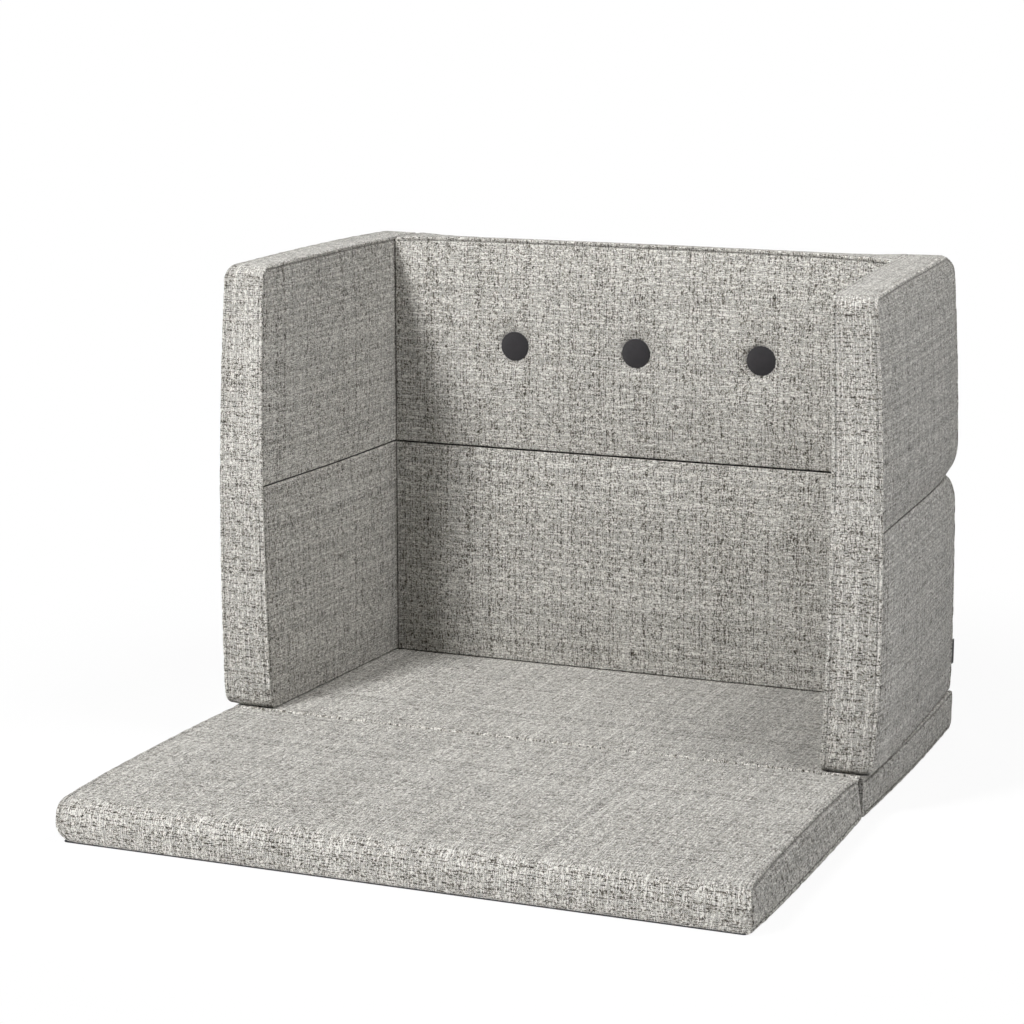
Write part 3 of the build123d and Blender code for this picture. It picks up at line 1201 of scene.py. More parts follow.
    def cloth_places(self, rows: Profile, points: Array, arc: Array) -> Array:
        """Where every face corner lies on the cloth.

        On the strip that is the length along the outline and the place across
        it, and on a panel it is the panel's own X and Y.

        Args:
            rows: the block's profile.
            points: the block's surface.
            arc: length along the outline.

        Returns:
            Faces by 4 by 2, in metres.
        """
        closed = np.concatenate([points, points[:, :1]], 1)
        on_panel = closed[..., :2]
        lengthwise = np.broadcast_to(arc[None], closed.shape[:2])
        on_strip = np.stack([lengthwise, closed[..., 2]], -1)
        face_zone = np.where(rows.zone[:-1] == rows.zone[1:], rows.zone[:-1], 0)
        is_strip = (face_zone == 0)[:, None, None, None]
        moved = (face_zone == 1)[:, None, None, None] * self.far_panel_shift
        chosen = np.where(is_strip, corner_values(on_strip), corner_values(on_panel) + moved)
        return chosen.reshape(-1, 4, 2) + np.array(self.block.cloth_shift)

    def stitch(
        self, rows: Profile, points: Array, normals: Array, free: Array
    ) -> bpy.types.Object:
        """Stitches along the groove of both sewn edges, as one mesh.

        Args:
            rows: the block's profile.
            points: the cover's surface.
            normals: its outward normals.
            free: share of free sewing at each column.

        Returns:
            The stitching.
        """
        near = np.abs(rows.across - self.seam.groove_at)
        half = len(near) // 2
        stitching = Stitching()
        stitches = np.concatenate([
            stitching.along(points[row], normals[row], free)
            for row in (int(np.argmin(near[:half])), half + int(np.argmin(near[half:])))
        ])
        world = self.block.to_world(stitches.reshape(-1, 3))
        return stitching.build(self.block.name + "_stitching", world)


@dataclass(frozen=True)
class Stitching:
    """A row of thread stitches, each a short tube that dives in at both ends.

    A stitch's radius is the thread's times the fourth root of one minus the
    square of its length share, and its middle stands proud by the arch times
    one minus that square.
    """

    pitch: float = 3.8 * MM
    length: float = 3.0 * MM
    thread: float = 0.3 * MM
    arch: float = 0.35 * MM
    sink: float = 0.05 * MM
    end_power: float = 0.25
    least_free: float = 0.5
    rings: int = 5
    sides: int = 6

    def build(self, name: str, points: Array) -> bpy.types.Object:
        """Joins stitches into one mesh.

        Args:
            name: name of the piece.
            points: the stitches' points in the frame's axes, n by 3.

        Returns:
            One mesh of all stitches.
        """
        size = self.rings * self.sides
        one = grid_quads(self.rings, self.sides, wraps=True)
        return mesh_from_quads(name, points, copied_quads(one, size, len(points) // size))

    def along(self, points: Array, normals: Array, free: Array) -> Array:
        """Every stitch on a closed line.

        Args:
            points: the line.
            normals: the cloth's normals along it.
            free: share of free sewing along it, which has to be over least_free.

        Returns:
            Points, stitches by ring points by 3.
        """
        path = np.vstack([points, points[:1]])
        facing = np.vstack([normals, normals[:1]])
        kept = np.append(free, free[:1])
        run = run_lengths(path)
        count = max(1, int(run[-1] / self.pitch))
        middle = (np.arange(count) + 0.5) * run[-1] / count
        middle = middle[np.interp(middle, run, kept) > self.least_free]
        here = self.sample(path, run, middle)
        ahead = self.sample(path, run, np.minimum(middle + self.length / 4, run[-1]))
        behind = self.sample(path, run, np.maximum(middle - self.length / 4, 0))
        tangent = ahead - behind
        tangent /= np.linalg.norm(tangent, axis=1, keepdims=True)
        normal = self.sample(facing, run, middle)
        normal -= (normal * tangent).sum(1, keepdims=True) * tangent
        normal /= np.linalg.norm(normal, axis=1, keepdims=True)
        side = np.cross(tangent, normal)
        share = np.linspace(-1, 1, self.rings)
        radius = self.thread * np.maximum(1 - share**2, 0) ** self.end_power
        lift = self.arch * (1 - share**2) - self.sink
        angle = np.arange(self.sides) / self.sides * FULL_TURN
        forward = np.broadcast_to(share[:, None] * self.length / 2, (self.rings, self.sides))
        upward = lift[:, None] + np.outer(radius, np.cos(angle))
        sideways = np.outer(radius, np.sin(angle))
        local = np.stack([forward, upward, sideways], -1).reshape(-1, 3)
        axes = np.stack([tangent, normal, side], 1)
        return here[:, None] + np.einsum("pa,kad->kpd", local, axes)

    @staticmethod
    def sample(values: Array, run: Array, at: Array) -> Array:
        """Values along a run, read at other lengths."""
        return np.stack([np.interp(at, run, values[:, k]) for k in range(values.shape[1])], -1)


@dataclass(frozen=True)
class Signal:
    """What a node puts out, with arithmetic for numbers that adds Math nodes."""

    wiring: "Wiring"
    socket: bpy.types.NodeSocket

    def __add__(self, other: object) -> "Signal":
        """The sum."""
        return self.wiring.math("ADD", self, other)

    def __sub__(self, other: object) -> "Signal":
        """The difference."""
        return self.wiring.math("SUBTRACT", self, other)

    def __mul__(self, other: object) -> "Signal":
        """The product."""
        return self.wiring.math("MULTIPLY", self, other)

    def __truediv__(self, other: object) -> "Signal":
        """The quotient."""
        return self.wiring.math("DIVIDE", self, other)


class Wiring:
    """Short calls that build the nodes of a material or of the world."""

    def __init__(self, tree: bpy.types.NodeTree) -> None:
        """Keeps the tree that the nodes go into."""
        self.tree = tree

    def node(self, kind: str, inputs: dict | None = None, **settings) -> bpy.types.Node:
        """Adds a node.

        Args:
            kind: Blender's name of the node's type.
            inputs: numbers or sockets for its inputs, by name or number.
            **settings: attributes of the node.

        Returns:
            The node.
        """
        made = self.tree.nodes.new(kind)
        for key, value in settings.items():
            setattr(made, key, value)
        for key, value in (inputs or {}).items():
            self.feed(made.inputs[key], value)
        return made

    def feed(self, socket: bpy.types.NodeSocket, value: object) -> None:
        """Links a socket to a signal or another socket, or sets its number.

        Args:
            socket: an input.
            value: what goes into it.
        """
        value = value.socket if isinstance(value, Signal) else value
        if isinstance(value, bpy.types.NodeSocket):
            self.tree.links.new(value, socket)
        else:
            socket.default_value = value

    def signal(
        self, kind: str, inputs: dict | None = None, output: object = 0, **settings
    ) -> Signal:
        """What a new node puts out, by the output's name or number."""
        return Signal(self, self.node(kind, inputs, **settings).outputs[output])

    def math(self, operation: str, *values: object) -> Signal:
        """Result of a Math node."""
        return self.signal("ShaderNodeMath", dict(enumerate(values)), operation=operation)

    def vector(self, x: object, y: object, z: object = 0.0) -> Signal:
        """A vector of three numbers."""
        return self.signal("ShaderNodeCombineXYZ", {0: x, 1: y, 2: z})

    def axes(self, vector: object) -> list[Signal]:
        """The three numbers of a vector."""
        split = self.node("ShaderNodeSeparateXYZ", {0: vector})
        return [Signal(self, socket) for socket in split.outputs]

    def noise(self, vector: object, scale: float, detail: float = 2.0) -> Signal:
        """Smooth noise from 0 to 1."""
        inputs = {"Vector": vector, "Scale": scale, "Detail": detail}
        return self.signal("ShaderNodeTexNoise", inputs, noise_dimensions="3D")

    def chance(self, value: object) -> Signal:
        """A random number for each value."""
        return self.signal("ShaderNodeTexWhiteNoise", {"W": value}, noise_dimensions="1D")

    def ramp(self, factor: object, stops: tuple) -> bpy.types.NodeSocket:
        """Colour by factor, through stops of place and colour.

        Args:
            factor: what the colour goes by.
            stops: pairs of place and colour.

        Returns:
            The colour.
        """
        made = self.node("ShaderNodeValToRGB", {0: factor})
        elements = made.color_ramp.elements
        while len(elements) < len(stops):
            elements.new(0.5)
        for element, (place, colour) in zip(elements, stops):
            element.position = place
            element.color = (*colour, 1)
        return made.outputs[0]

    def mix(
        self, factor: object, first: object, second: object, blend: str = "MIX"
    ) -> bpy.types.NodeSocket:
        """Colour mix of two colours."""
        inputs = {0: factor, 6: first, 7: second}
        return self.node("ShaderNodeMix", inputs, data_type="RGBA", blend_type=blend).outputs[2]

    def times(self, colour: object, level: object) -> bpy.types.NodeSocket:
        """A colour times a level, as light does."""
        grey = self.node("ShaderNodeCombineColor", {0: level, 1: level, 2: level}).outputs[0]
        return self.mix(1.0, colour, grey, "MULTIPLY")

    def uneven(self, noise: Signal, share: float) -> Signal:
        """A level about 1 that noise moves by up to half a share either way."""
        return noise * share + (1 - share / 2)

    def spread(
        self, value: object, start: float, end: float, low: float, high: float, **settings
    ) -> Signal:
        """A level that runs from low to high while a value runs from start to end."""
        inputs = {"Value": value, "From Min": start, "From Max": end, "To Min": low, "To Max": high}
        return self.signal("ShaderNodeMapRange", inputs, **settings)

    def bump(self, height: object, strength: float, distance: float) -> bpy.types.NodeSocket:
        """Normal bent by a height."""
        inputs = {"Height": height, "Strength": strength, "Distance": distance}
        return self.node("ShaderNodeBump", inputs).outputs[0]

    def sees_background(self) -> Signal:
        """Whether a ray comes straight from the camera, or by a mirror or clear glass."""
        path = self.node("ShaderNodeLightPath").outputs
        seen = self.math("MAXIMUM", path["Is Camera Ray"], path["Is Glossy Ray"])
        return self.math("MAXIMUM", seen, path["Is Transmission Ray"])


class Finish(Wiring):
    """The nodes of a new material, with its output and its surface shader."""

    def __init__(self, name: str) -> None:
        """Starts the material of that name."""
        self.material = bpy.data.materials.new(name)
        self.material.use_nodes = True
        super().__init__(self.material.node_tree)
        self.shader = self.tree.nodes["Principled BSDF"]

    def finish(self, **inputs: object) -> bpy.types.Material:
        """Feeds the surface shader's inputs, given with _ for a blank."""
        for key, value in inputs.items():
            self.feed(self.shader.inputs[key.replace("_", " ")], value)
        return self.material


@dataclass(frozen=True)
class Weave:
    """Heathered basket weave of slubby yarns, read from the cloth's own places.

    Warp and weft threads cross over and under in a checker, and the lower one
    shows through in part. Every thread has its own shade, which drifts along
    it, so that light and dark streaks run both ways as in the real cloth. The
    hollows between threads carry painted shade and their crowns painted light;
    the welts carry painted highlight with wear, and the grooves and gaps painted shade.
    """

    uv_map = "cloth"
    seam_attribute = "sewing"
    name: str = "upholstery"
    pitch: float = 0.93 * MM
    drift: float = 0.09
    fleck: float = 0.28
    chance_share: float = 0.15
    own_share: float = 0.12
    cross: float = 0.45
    shift: float = 0.05
    lane_step: float = 211.0
    cell_step: float = 977.0
    quick_lane: float = 7.3
    warp_seed: float = 3.0
    weft_seed: float = 517.0
    # Painted shade of the weave: the hollows between threads darker, their crowns lighter.
    hollow_painted_shade: float = 0.72
    crown_painted_light: float = 0.34
    # Painted highlight with wear on the welts, painted shade in the grooves and gaps, and the least
    # level of that painted shade.
    welt_wear_and_highlight: float = 0.18
    groove_painted_shade: float = 0.55
    darkest_painted_shade: float = 0.03
    patches: float = 14.0
    patch_share: float = 0.16
    mottle_size: float = 3.6 * MM
    mottle_share: float = 0.16
    stops: tuple = (
        (0.425, (0.030, 0.024, 0.018)),
        (0.475, (0.245, 0.218, 0.179)),
        (0.51, (0.64, 0.615, 0.555)),
        (0.55, (0.95, 0.933, 0.885)),
    )
    roughness: float = 0.93
    specular: float = 0.2
    sheen: float = 0.15
    sheen_roughness: float = 0.5
    relief_share: float = 0.8
    relief: float = 0.35 * MM

    def yarn(self, wiring: Wiring, thread: Signal, along: Signal, seed: float) -> Signal:
        """Shade of one set of threads.

        It is the mean of a slow and a quick noise along the thread, plus the
        thread's own lean and a chance fleck at each crossing.

        Args:
            wiring: the material's nodes.
            thread: number of the thread.
            along: place along it, in threads.
            seed: keeps warp and weft apart.

        Returns:
            A number from 0, dark, to 1, light.
        """
        own = wiring.chance(thread + seed)
        lane = own * self.lane_step
        slow = wiring.vector(lane, along * self.drift)
        quick = wiring.vector(lane, along * self.fleck, self.quick_lane)
        shade = (wiring.noise(slow, 1.0) + wiring.noise(quick, 1.0, detail=1.0)) * 0.5
        crossing = wiring.math("MULTIPLY_ADD", own, self.cell_step, wiring.math("FLOOR", along))
        fleck = (wiring.chance(crossing) - 0.5) * self.chance_share
        return shade + (own - 0.5) * self.own_share + fleck

    def arch(self, wiring: Wiring, place: Signal) -> Signal:
        """Height across a thread: half a sine wave from one side to the other."""
        return wiring.math("SINE", wiring.math("FRACT", place) * math.pi)

    def painted_sewing_shade(self, wiring: Wiring) -> Signal:
        """Painted light of the sewing: wear and highlight on the welts, shade in the grooves and in
        the gaps beside neighbours.

        Args:
            wiring: the material's nodes.

        Returns:
            A level, 1 on plain cloth.
        """
        relief = wiring.signal("ShaderNodeAttribute", None, "Fac",
                               attribute_name=self.seam_attribute)
        welt_light = wiring.math("MAXIMUM", relief, 0.0) * self.welt_wear_and_highlight + 1.0
        sunk = wiring.math("MINIMUM", relief, 0.0) * self.groove_painted_shade + 1.0
        return welt_light * wiring.math("MAXIMUM", sunk, self.darkest_painted_shade)

    def material(self) -> bpy.types.Material:
        """Makes the cloth's material.

        Returns:
            The material.
        """
        wiring = Finish(self.name)
        place = wiring.signal("ShaderNodeUVMap", uv_map=self.uv_map)
        a, b = [axis / self.pitch for axis in wiring.axes(place)[:2]]
        warp, weft = wiring.math("FLOOR", a), wiring.math("FLOOR", b)
        over = wiring.math("MODULO", wiring.math("ABSOLUTE", warp + weft), 2.0)
        shade_warp = self.yarn(wiring, warp, b, self.warp_seed) + self.shift
        shade_weft = self.yarn(wiring, weft, a, self.weft_seed) - self.shift
        shown = over * self.cross + (1 - self.cross) / 2
        warp_colour = wiring.ramp(shade_warp, self.stops)
        weft_colour = wiring.ramp(shade_weft, self.stops)
        colour = wiring.mix(shown, warp_colour, weft_colour)
        # Painted light and shade of the threads' own relief: crowns lighter, hollows darker.
        crown = self.arch(wiring, a) * self.arch(wiring, b)
        colour = wiring.times(colour, crown * self.crown_painted_light + self.hollow_painted_shade)
        wide = wiring.noise(place, self.patches, detail=3.0)
        small = wiring.noise(place, 1 / self.mottle_size, detail=1.0)
        patches = wiring.uneven(wide, self.patch_share)
        mottle = wiring.uneven(small, self.mottle_share)
        # Painted highlight and wear on the welts, painted shade in the grooves and gaps, times
        # random patches and mottle.
        colour = wiring.times(colour, self.painted_sewing_shade(wiring) * patches * mottle)
        height = crown + (shade_warp + shade_weft) * 0.5
        return wiring.finish(
            Base_Color=colour,
            Roughness=self.roughness,
            Specular_IOR_Level=self.specular,
            Sheen_Weight=self.sheen,
            Sheen_Roughness=self.sheen_roughness,
            Normal=wiring.bump(height, self.relief_share, self.relief),
        )


@dataclass(frozen=True)
class ObjectWeave:
    """A plain fine weave read from the object's own coordinates.

    It serves small cloth pieces: two sine bands that cross make the threads,
    which stand out by a third of their pitch, and noise varies their shade.
    """

    name: str
    colour: Triple
    pitch: float
    depth: float = 0.5
    spread: float = 0.25
    roughness: float = 0.9
    sheen: float = 0.1
    dots: float = 0.0
    contrast: float = 0.25
    specular: float = 0.25
    noise_share: float = 0.35
    bead_radius: float = 0.28
    bead_height: float = 3.0
    bead_light: float = 0.6

    def material(self) -> bpy.types.Material:
        """Makes the cloth's material.

        Returns:
            The material.
        """
        wiring = Finish(self.name)
        place = wiring.signal("ShaderNodeTexCoord", None, "Object")
        x, y, z = [axis * (FULL_TURN / self.pitch) for axis in wiring.axes(place)]
        thread = wiring.math("SINE", x + y) * wiring.math("SINE", z + y) * 0.5 + 0.5
        shade = wiring.noise(place, self.noise_share / self.pitch, detail=3.0) * self.spread
        level = thread * self.contrast + (1 - self.contrast - self.spread / 2) + shade
        colour = wiring.times((*self.colour, 1), level)
        height = thread
        if self.dots:
            inputs = {"Vector": place, "Scale": 1 / self.dots, "Randomness": 0.0}
            distance = wiring.signal("ShaderNodeTexVoronoi", inputs, "Distance")
            bead = wiring.math("LESS_THAN", distance, self.bead_radius)
            height = thread + bead * self.bead_height
            bead_colour = tuple(self.bead_light * c for c in self.colour) + (1,)
            colour = wiring.mix(bead, colour, bead_colour)
        return wiring.finish(
            Base_Color=colour,
            Roughness=self.roughness,
            Specular_IOR_Level=self.specular,
            Sheen_Weight=self.sheen,
            Normal=wiring.bump(height, self.depth, self.pitch / 3),
        )


@dataclass(frozen=True)
class Solid:
    """A hard finish: moulded plastic or plated metal, with wear an eighth of a grain deep."""

    name: str
    colour: Triple
    roughness: float
    metallic: float
    grain: float
    shade_share: float = 0.3
    wear_share: float = 0.2

    def material(self) -> bpy.types.Material:
        """Makes the material, with its shade, wear and relief from one noise.

        Returns:
            The material.
        """
        wiring = Finish(self.name)
        place = wiring.signal("ShaderNodeTexCoord", None, "Object")
        fine = wiring.noise(place, 1 / self.grain, detail=4.0)
        return wiring.finish(
            Base_Color=wiring.times((*self.colour, 1), wiring.uneven(fine, self.shade_share)),
            Metallic=self.metallic,
            Roughness=fine * self.wear_share + (self.roughness - self.wear_share / 2),
            Normal=wiring.bump(fine, self.wear_share, self.grain / 8),
        )


class Finishes:
    """Every material of the sofa, each made once."""

    def __init__(self) -> None:
        """Makes the materials."""
        self.upholstery = Weave().material()
        self.thread = ObjectWeave(
            "sewing_thread", (0.50, 0.485, 0.45), 0.5 * MM, spread=0.4
        ).material()
        self.grip = ObjectWeave("grip_cloth", (0.05, 0.05, 0.055), 1.4 * MM, dots=6 * MM).material()
        self.button = ObjectWeave(
            "button_cloth", (0.035, 0.032, 0.036), 1.9 * MM,
            depth=1.0, spread=0.4, sheen=0.3, contrast=0.5,
        ).material()
        self.tab = ObjectWeave("tab_cloth", (0.007, 0.007, 0.008), 0.5 * MM).material()
        self.cord = ObjectWeave(
            "tufting_cord", (0.75, 0.72, 0.65), 0.8 * MM, spread=0.4
        ).material()
        self.metal = Solid("button_metal", (0.62, 0.62, 0.60), 0.35, 1.0, 1.5 * MM).material()
        self.plastic = Solid("anchor_plastic", (0.72, 0.72, 0.70), 0.5, 0.0, 2 * MM).material()


def dress(piece: bpy.types.Object, material: bpy.types.Material) -> None:
    """Gives a piece its one material."""
    piece.data.materials.clear()
    piece.data.materials.append(material)


@dataclass
class FoamBlocks:
    """All eight cushions of the sofa."""

    finishes: Finishes
    seam: Seam = Seam()
    swelling: Swelling = Swelling()
    arm_top_front: float = 15 * MM
    arm_top_rear: float = 16 * MM
    arm_foot: float = 12 * MM
    arm_fold: float = 4 * MM
    arm_rear_fold: float = 12 * MM
    arm_heel: float = 8 * MM
    back_end: float = 2 * MM
    nose_top: float = 16 * MM
    nose_low: float = 4 * MM
    fold_round: float = 1.5 * MM
    mat_low: float = 5 * MM
    mat_rear: float = 6 * MM
    nose_bow: float = 1.2 * MM
    end_crown: float = 2 * MM
    seat_margin: float = 16 * MM
    flap_swell: float = 3 * MM
    right_lean: float = 12 * MM
    nose_tuck: float = 26 * MM
    heel_round: float = 16 * MM
    back_gap: float = 2.8
    # Lighter painted shade in the base mat's gaps.
    base_painted_gap_shade: float = 0.25
    base_swell: float = 3.5 * MM
    nose_reach: float = 1.5 * MM
    nose_sag: float = 0.9 * MM
    front_gap: float = 2.2
    tufted_step: float = 3.5 * MM
    fill: float = 0.95

    def arm_plane(self, foot_z: float, side: Side) -> Plane:
        """Plane of an arm: X runs back along it, Y up and Z outwards.

        Args:
            foot_z: underside of the arm.
            side: left or right.

        Returns:
            The plane.
        """
        sine, cosine = math.sin(SIZES.splay), math.cos(SIZES.splay)
        middle_x = SIZES.arm_inner_x - SIZES.arm_length / 2 * sine
        middle_y = SIZES.fold_y + SIZES.arm_length / 2 * cosine
        return Plane((middle_x, middle_y, foot_z), (-sine, cosine, 0), (cosine, sine, 0),
                     mirrored=side is Side.LEFT)

    def arm(self, tier: Body, side: Side, seed: int) -> Block:
        """One arm of a tier.

        Args:
            tier: the lower or the upper walls.
            side: left or right.
            seed: sets the run of its puckers.

        Returns:
            The arm's block.
        """
        upper = tier is Body.UPPER
        foot, height = SIZES.tier(upper)
        half = SIZES.arm_length / 2
        ease = self.seam.ease
        behind = SIZES.back_thick / math.cos(SIZES.splay)
        low, high = ease, height - ease
        if upper:
            rounds = (self.arm_fold, self.arm_rear_fold, self.arm_top_rear, self.arm_top_front)
            bows = (0.0, SIZES.side_bow, SIZES.side_bow / 2, 0.0)
            still = (0,)
        else:
            rounds = (self.arm_foot, self.arm_heel, self.arm_rear_fold, self.arm_fold)
            bows = (0.0, SIZES.side_bow, 0.0, 0.0)
            still = (0, 2)
        return Block(
            name=f"{'upper' if upper else 'lower'}_{side.label}_arm",
            body=tier,
            plane=self.arm_plane(foot, side),
            lengths=(SIZES.arm_length, SIZES.arm_length),
            height=height,
            thick=SIZES.arm_thick,
            rounds=rounds,
            bows=bows,
            near_domes=(Dome(-half + ease, half - ease - behind, low, high, SIZES.panel_crown),),
            far_domes=(Dome(-half + ease, half - ease, low, high, SIZES.panel_crown),),
            seed=seed,
            still_sides=still,
            still_from=half - behind,
            warp=WallWarp(),
        )

    def back(self, tier: Body, seed: int) -> Block:
        """The back of a tier, tufted in the upper one.

        Args:
            tier: the lower or the upper walls.
            seed: sets the run of its puckers.

        Returns:
            The back's block.
        """
        upper = tier is Body.UPPER
        foot, height = SIZES.tier(upper)
        rear = SIZES.inner_half_width(SIZES.rear_y) - SIZES.rest_gap
        front = SIZES.inner_half_width(SIZES.back_front_y) - SIZES.rest_gap
        ease = self.seam.ease
        edge = front - SIZES.panel_crown - ease
        return Block(
            name="upper_back" if upper else "lower_back",
            body=tier,
            plane=Plane((0, SIZES.rear_y, foot), (1, 0, 0), (0, -1, 0)),
            lengths=(2 * rear, 2 * front),
            height=height,
            thick=SIZES.back_thick,
            rounds=(self.back_end,) * 4,
            bows=(0.0, 0.0, SIZES.side_bow / 2 if upper else 0.0, 0.0),
            near_domes=(Dome(-rear + ease, rear - ease, ease, height - ease, SIZES.panel_crown),),
            far_domes=(Dome(-edge, edge, ease, height - ease, SIZES.panel_crown),),
            seed=seed,
            tufts=Tufts(tuple(SIZES.button_places())) if upper else None,
            warp=BackWarp() if upper else Warp(),
            still_sides=(0, 1, 3) if upper else (0, 1, 2, 3),
            panel_step=self.tufted_step if upper else Block.panel_step,
            gap_share=self.back_gap,
        )

    def mat(self, body: Body, seed: int) -> Block:
        """The rear or the front mat.

        Args:
            body: the base or the front mat.
            seed: sets the run of its puckers.

        Returns:
            The mat's block: its outline is the mat's side view.
        """
        front = body is Body.FRONT_MAT
        depth = (SIZES.flap_depth if front else SIZES.base_depth) - SIZES.rest_gap / 2
        rear_y = SIZES.fold_y - SIZES.rest_gap / 2 if front else SIZES.rear_y
        middle_y = rear_y - depth / 2
        height = SIZES.mat_height - SIZES.grip_thick
        ease = self.seam.ease
        end = Dome(-depth / 2 + ease, depth / 2 - ease, ease, height - ease, self.end_crown)
        if front:
            rounds = (self.nose_low, self.mat_low, self.fold_round, self.nose_top)
            bows = (0.0, 0.0, SIZES.seat_crown, self.nose_bow)
            strip_domes = ()
            warp = MatWarp(SIZES.fold_y - depth, SIZES.fold_y, self.flap_swell, self.nose_reach,
                           self.nose_sag, self.right_lean, self.nose_tuck)
        else:
            rounds = (self.mat_low, self.heel_round, self.mat_rear, self.fold_round)
            bows = (0.0, 0.0, 0.0, 0.0)
            half = SIZES.inner_half_width(SIZES.back_front_y) - self.seat_margin
            low = SIZES.fold_y + self.seat_margin - middle_y
            high = SIZES.back_front_y - self.seat_margin - middle_y
            middle = SIZES.mat_width / 2
            strip_domes = (Dome(low, high, middle - half, middle + half, SIZES.seat_crown),)
            warp = MatWarp(SIZES.fold_y, SIZES.rear_y, self.base_swell)
        return Block(
            name="front_mat" if front else "base_mat",
            body=body,
            plane=Plane((-SIZES.mat_width / 2, middle_y, SIZES.grip_thick), (0, 1, 0), (1, 0, 0)),
            lengths=(depth, depth),
            height=height,
            thick=SIZES.mat_width,
            rounds=rounds,
            bows=bows,
            near_domes=(end,),
            far_domes=(end,),
            seed=seed,
            strip_domes=strip_domes,
            still_sides=(1,) if front else (3,),
            warp=warp,
            swell_share=0.0,
            gap_share=self.front_gap if front else 1.0,
            painted_gap_shade=1.0 if front else self.base_painted_gap_shade,
        )

    def blocks(self) -> list[Block]:
        """Every block, from the floor up.

        Returns:
            The eight blocks.
        """
        made = [self.mat(Body.BASE, 1), self.mat(Body.FRONT_MAT, 2)]
        for tier, seed in ((Body.LOWER, 3), (Body.UPPER, 6)):
            made += [self.arm(tier, Side.LEFT, seed), self.arm(tier, Side.RIGHT, seed + 1),
                     self.back(tier, seed + 2)]
        return made

    def build(self) -> None:
        """Makes and dresses every cushion and hangs it on its body."""
        for block in self.blocks():
            cover, stitching = Cushion(block, self.seam, self.swelling).build()
            dress(cover, self.finishes.upholstery)
            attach(cover, block.body.value)
            if stitching is not None:
                dress(stitching, self.finishes.thread)
                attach(stitching, block.body.value)
            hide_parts(block.name + "_cover", block.name + "_foam")
            log.info("%s: %d faces", cover.name, len(cover.data.polygons))


@dataclass(frozen=True)
class Strip:
    """A thin closed strip of cloth, carried along a line.

    Its section is a line of places with a height over each, and an underside
    one thickness below. At each point of the line the places are laid out in
    one fixed direction and the heights along the line's own normal, which may
    be one for the whole line.
    """

    name: str
    places: Array
    heights: Array
    thick: float
    spine: Array
    normals: Array
    direction: Triple
    # Relief at each place of the section, which the cloth paints as highlight and shade.
    sewing: Array

    def build(self, warp: Warp, across: Array) -> bpy.types.Object:
        """Makes the strip.

        Args:
            warp: moves of what it lies on.
            across: share of that piece's thickness at each point of the line.

        Returns:
            The strip.
        """
        section_at = np.concatenate([self.places, self.places[::-1]])
        section_up = np.concatenate([self.heights, self.heights[::-1] - self.thick])
        rows, columns = len(self.spine), len(section_at)
        points = self.spine[:, None] + section_at[None, :, None] * np.array(self.direction)
        points = points + section_up[None, :, None] * self.normals[:, None]
        flat = points.reshape(-1, 3)
        flat = flat + warp.moves(flat, np.repeat(across, columns))
        crosswise = np.append(section_at, section_at[:1])
        cloth = np.stack(np.meshgrid(run_lengths(self.spine), crosswise, indexing="ij"), -1)
        caps = end_caps(rows, columns, len(self.places), shared=False)
        quads = np.concatenate([grid_quads(rows, columns, wraps=True), caps])
        on_caps = np.zeros((len(caps), 4, 2))
        corners = np.concatenate([corner_values(cloth).reshape(-1, 4, 2), on_caps])
        sewing = np.tile(np.concatenate([self.sewing, self.sewing[::-1]]), rows)
        return mesh_from_quads(self.name, flat, quads, corners, sewing)


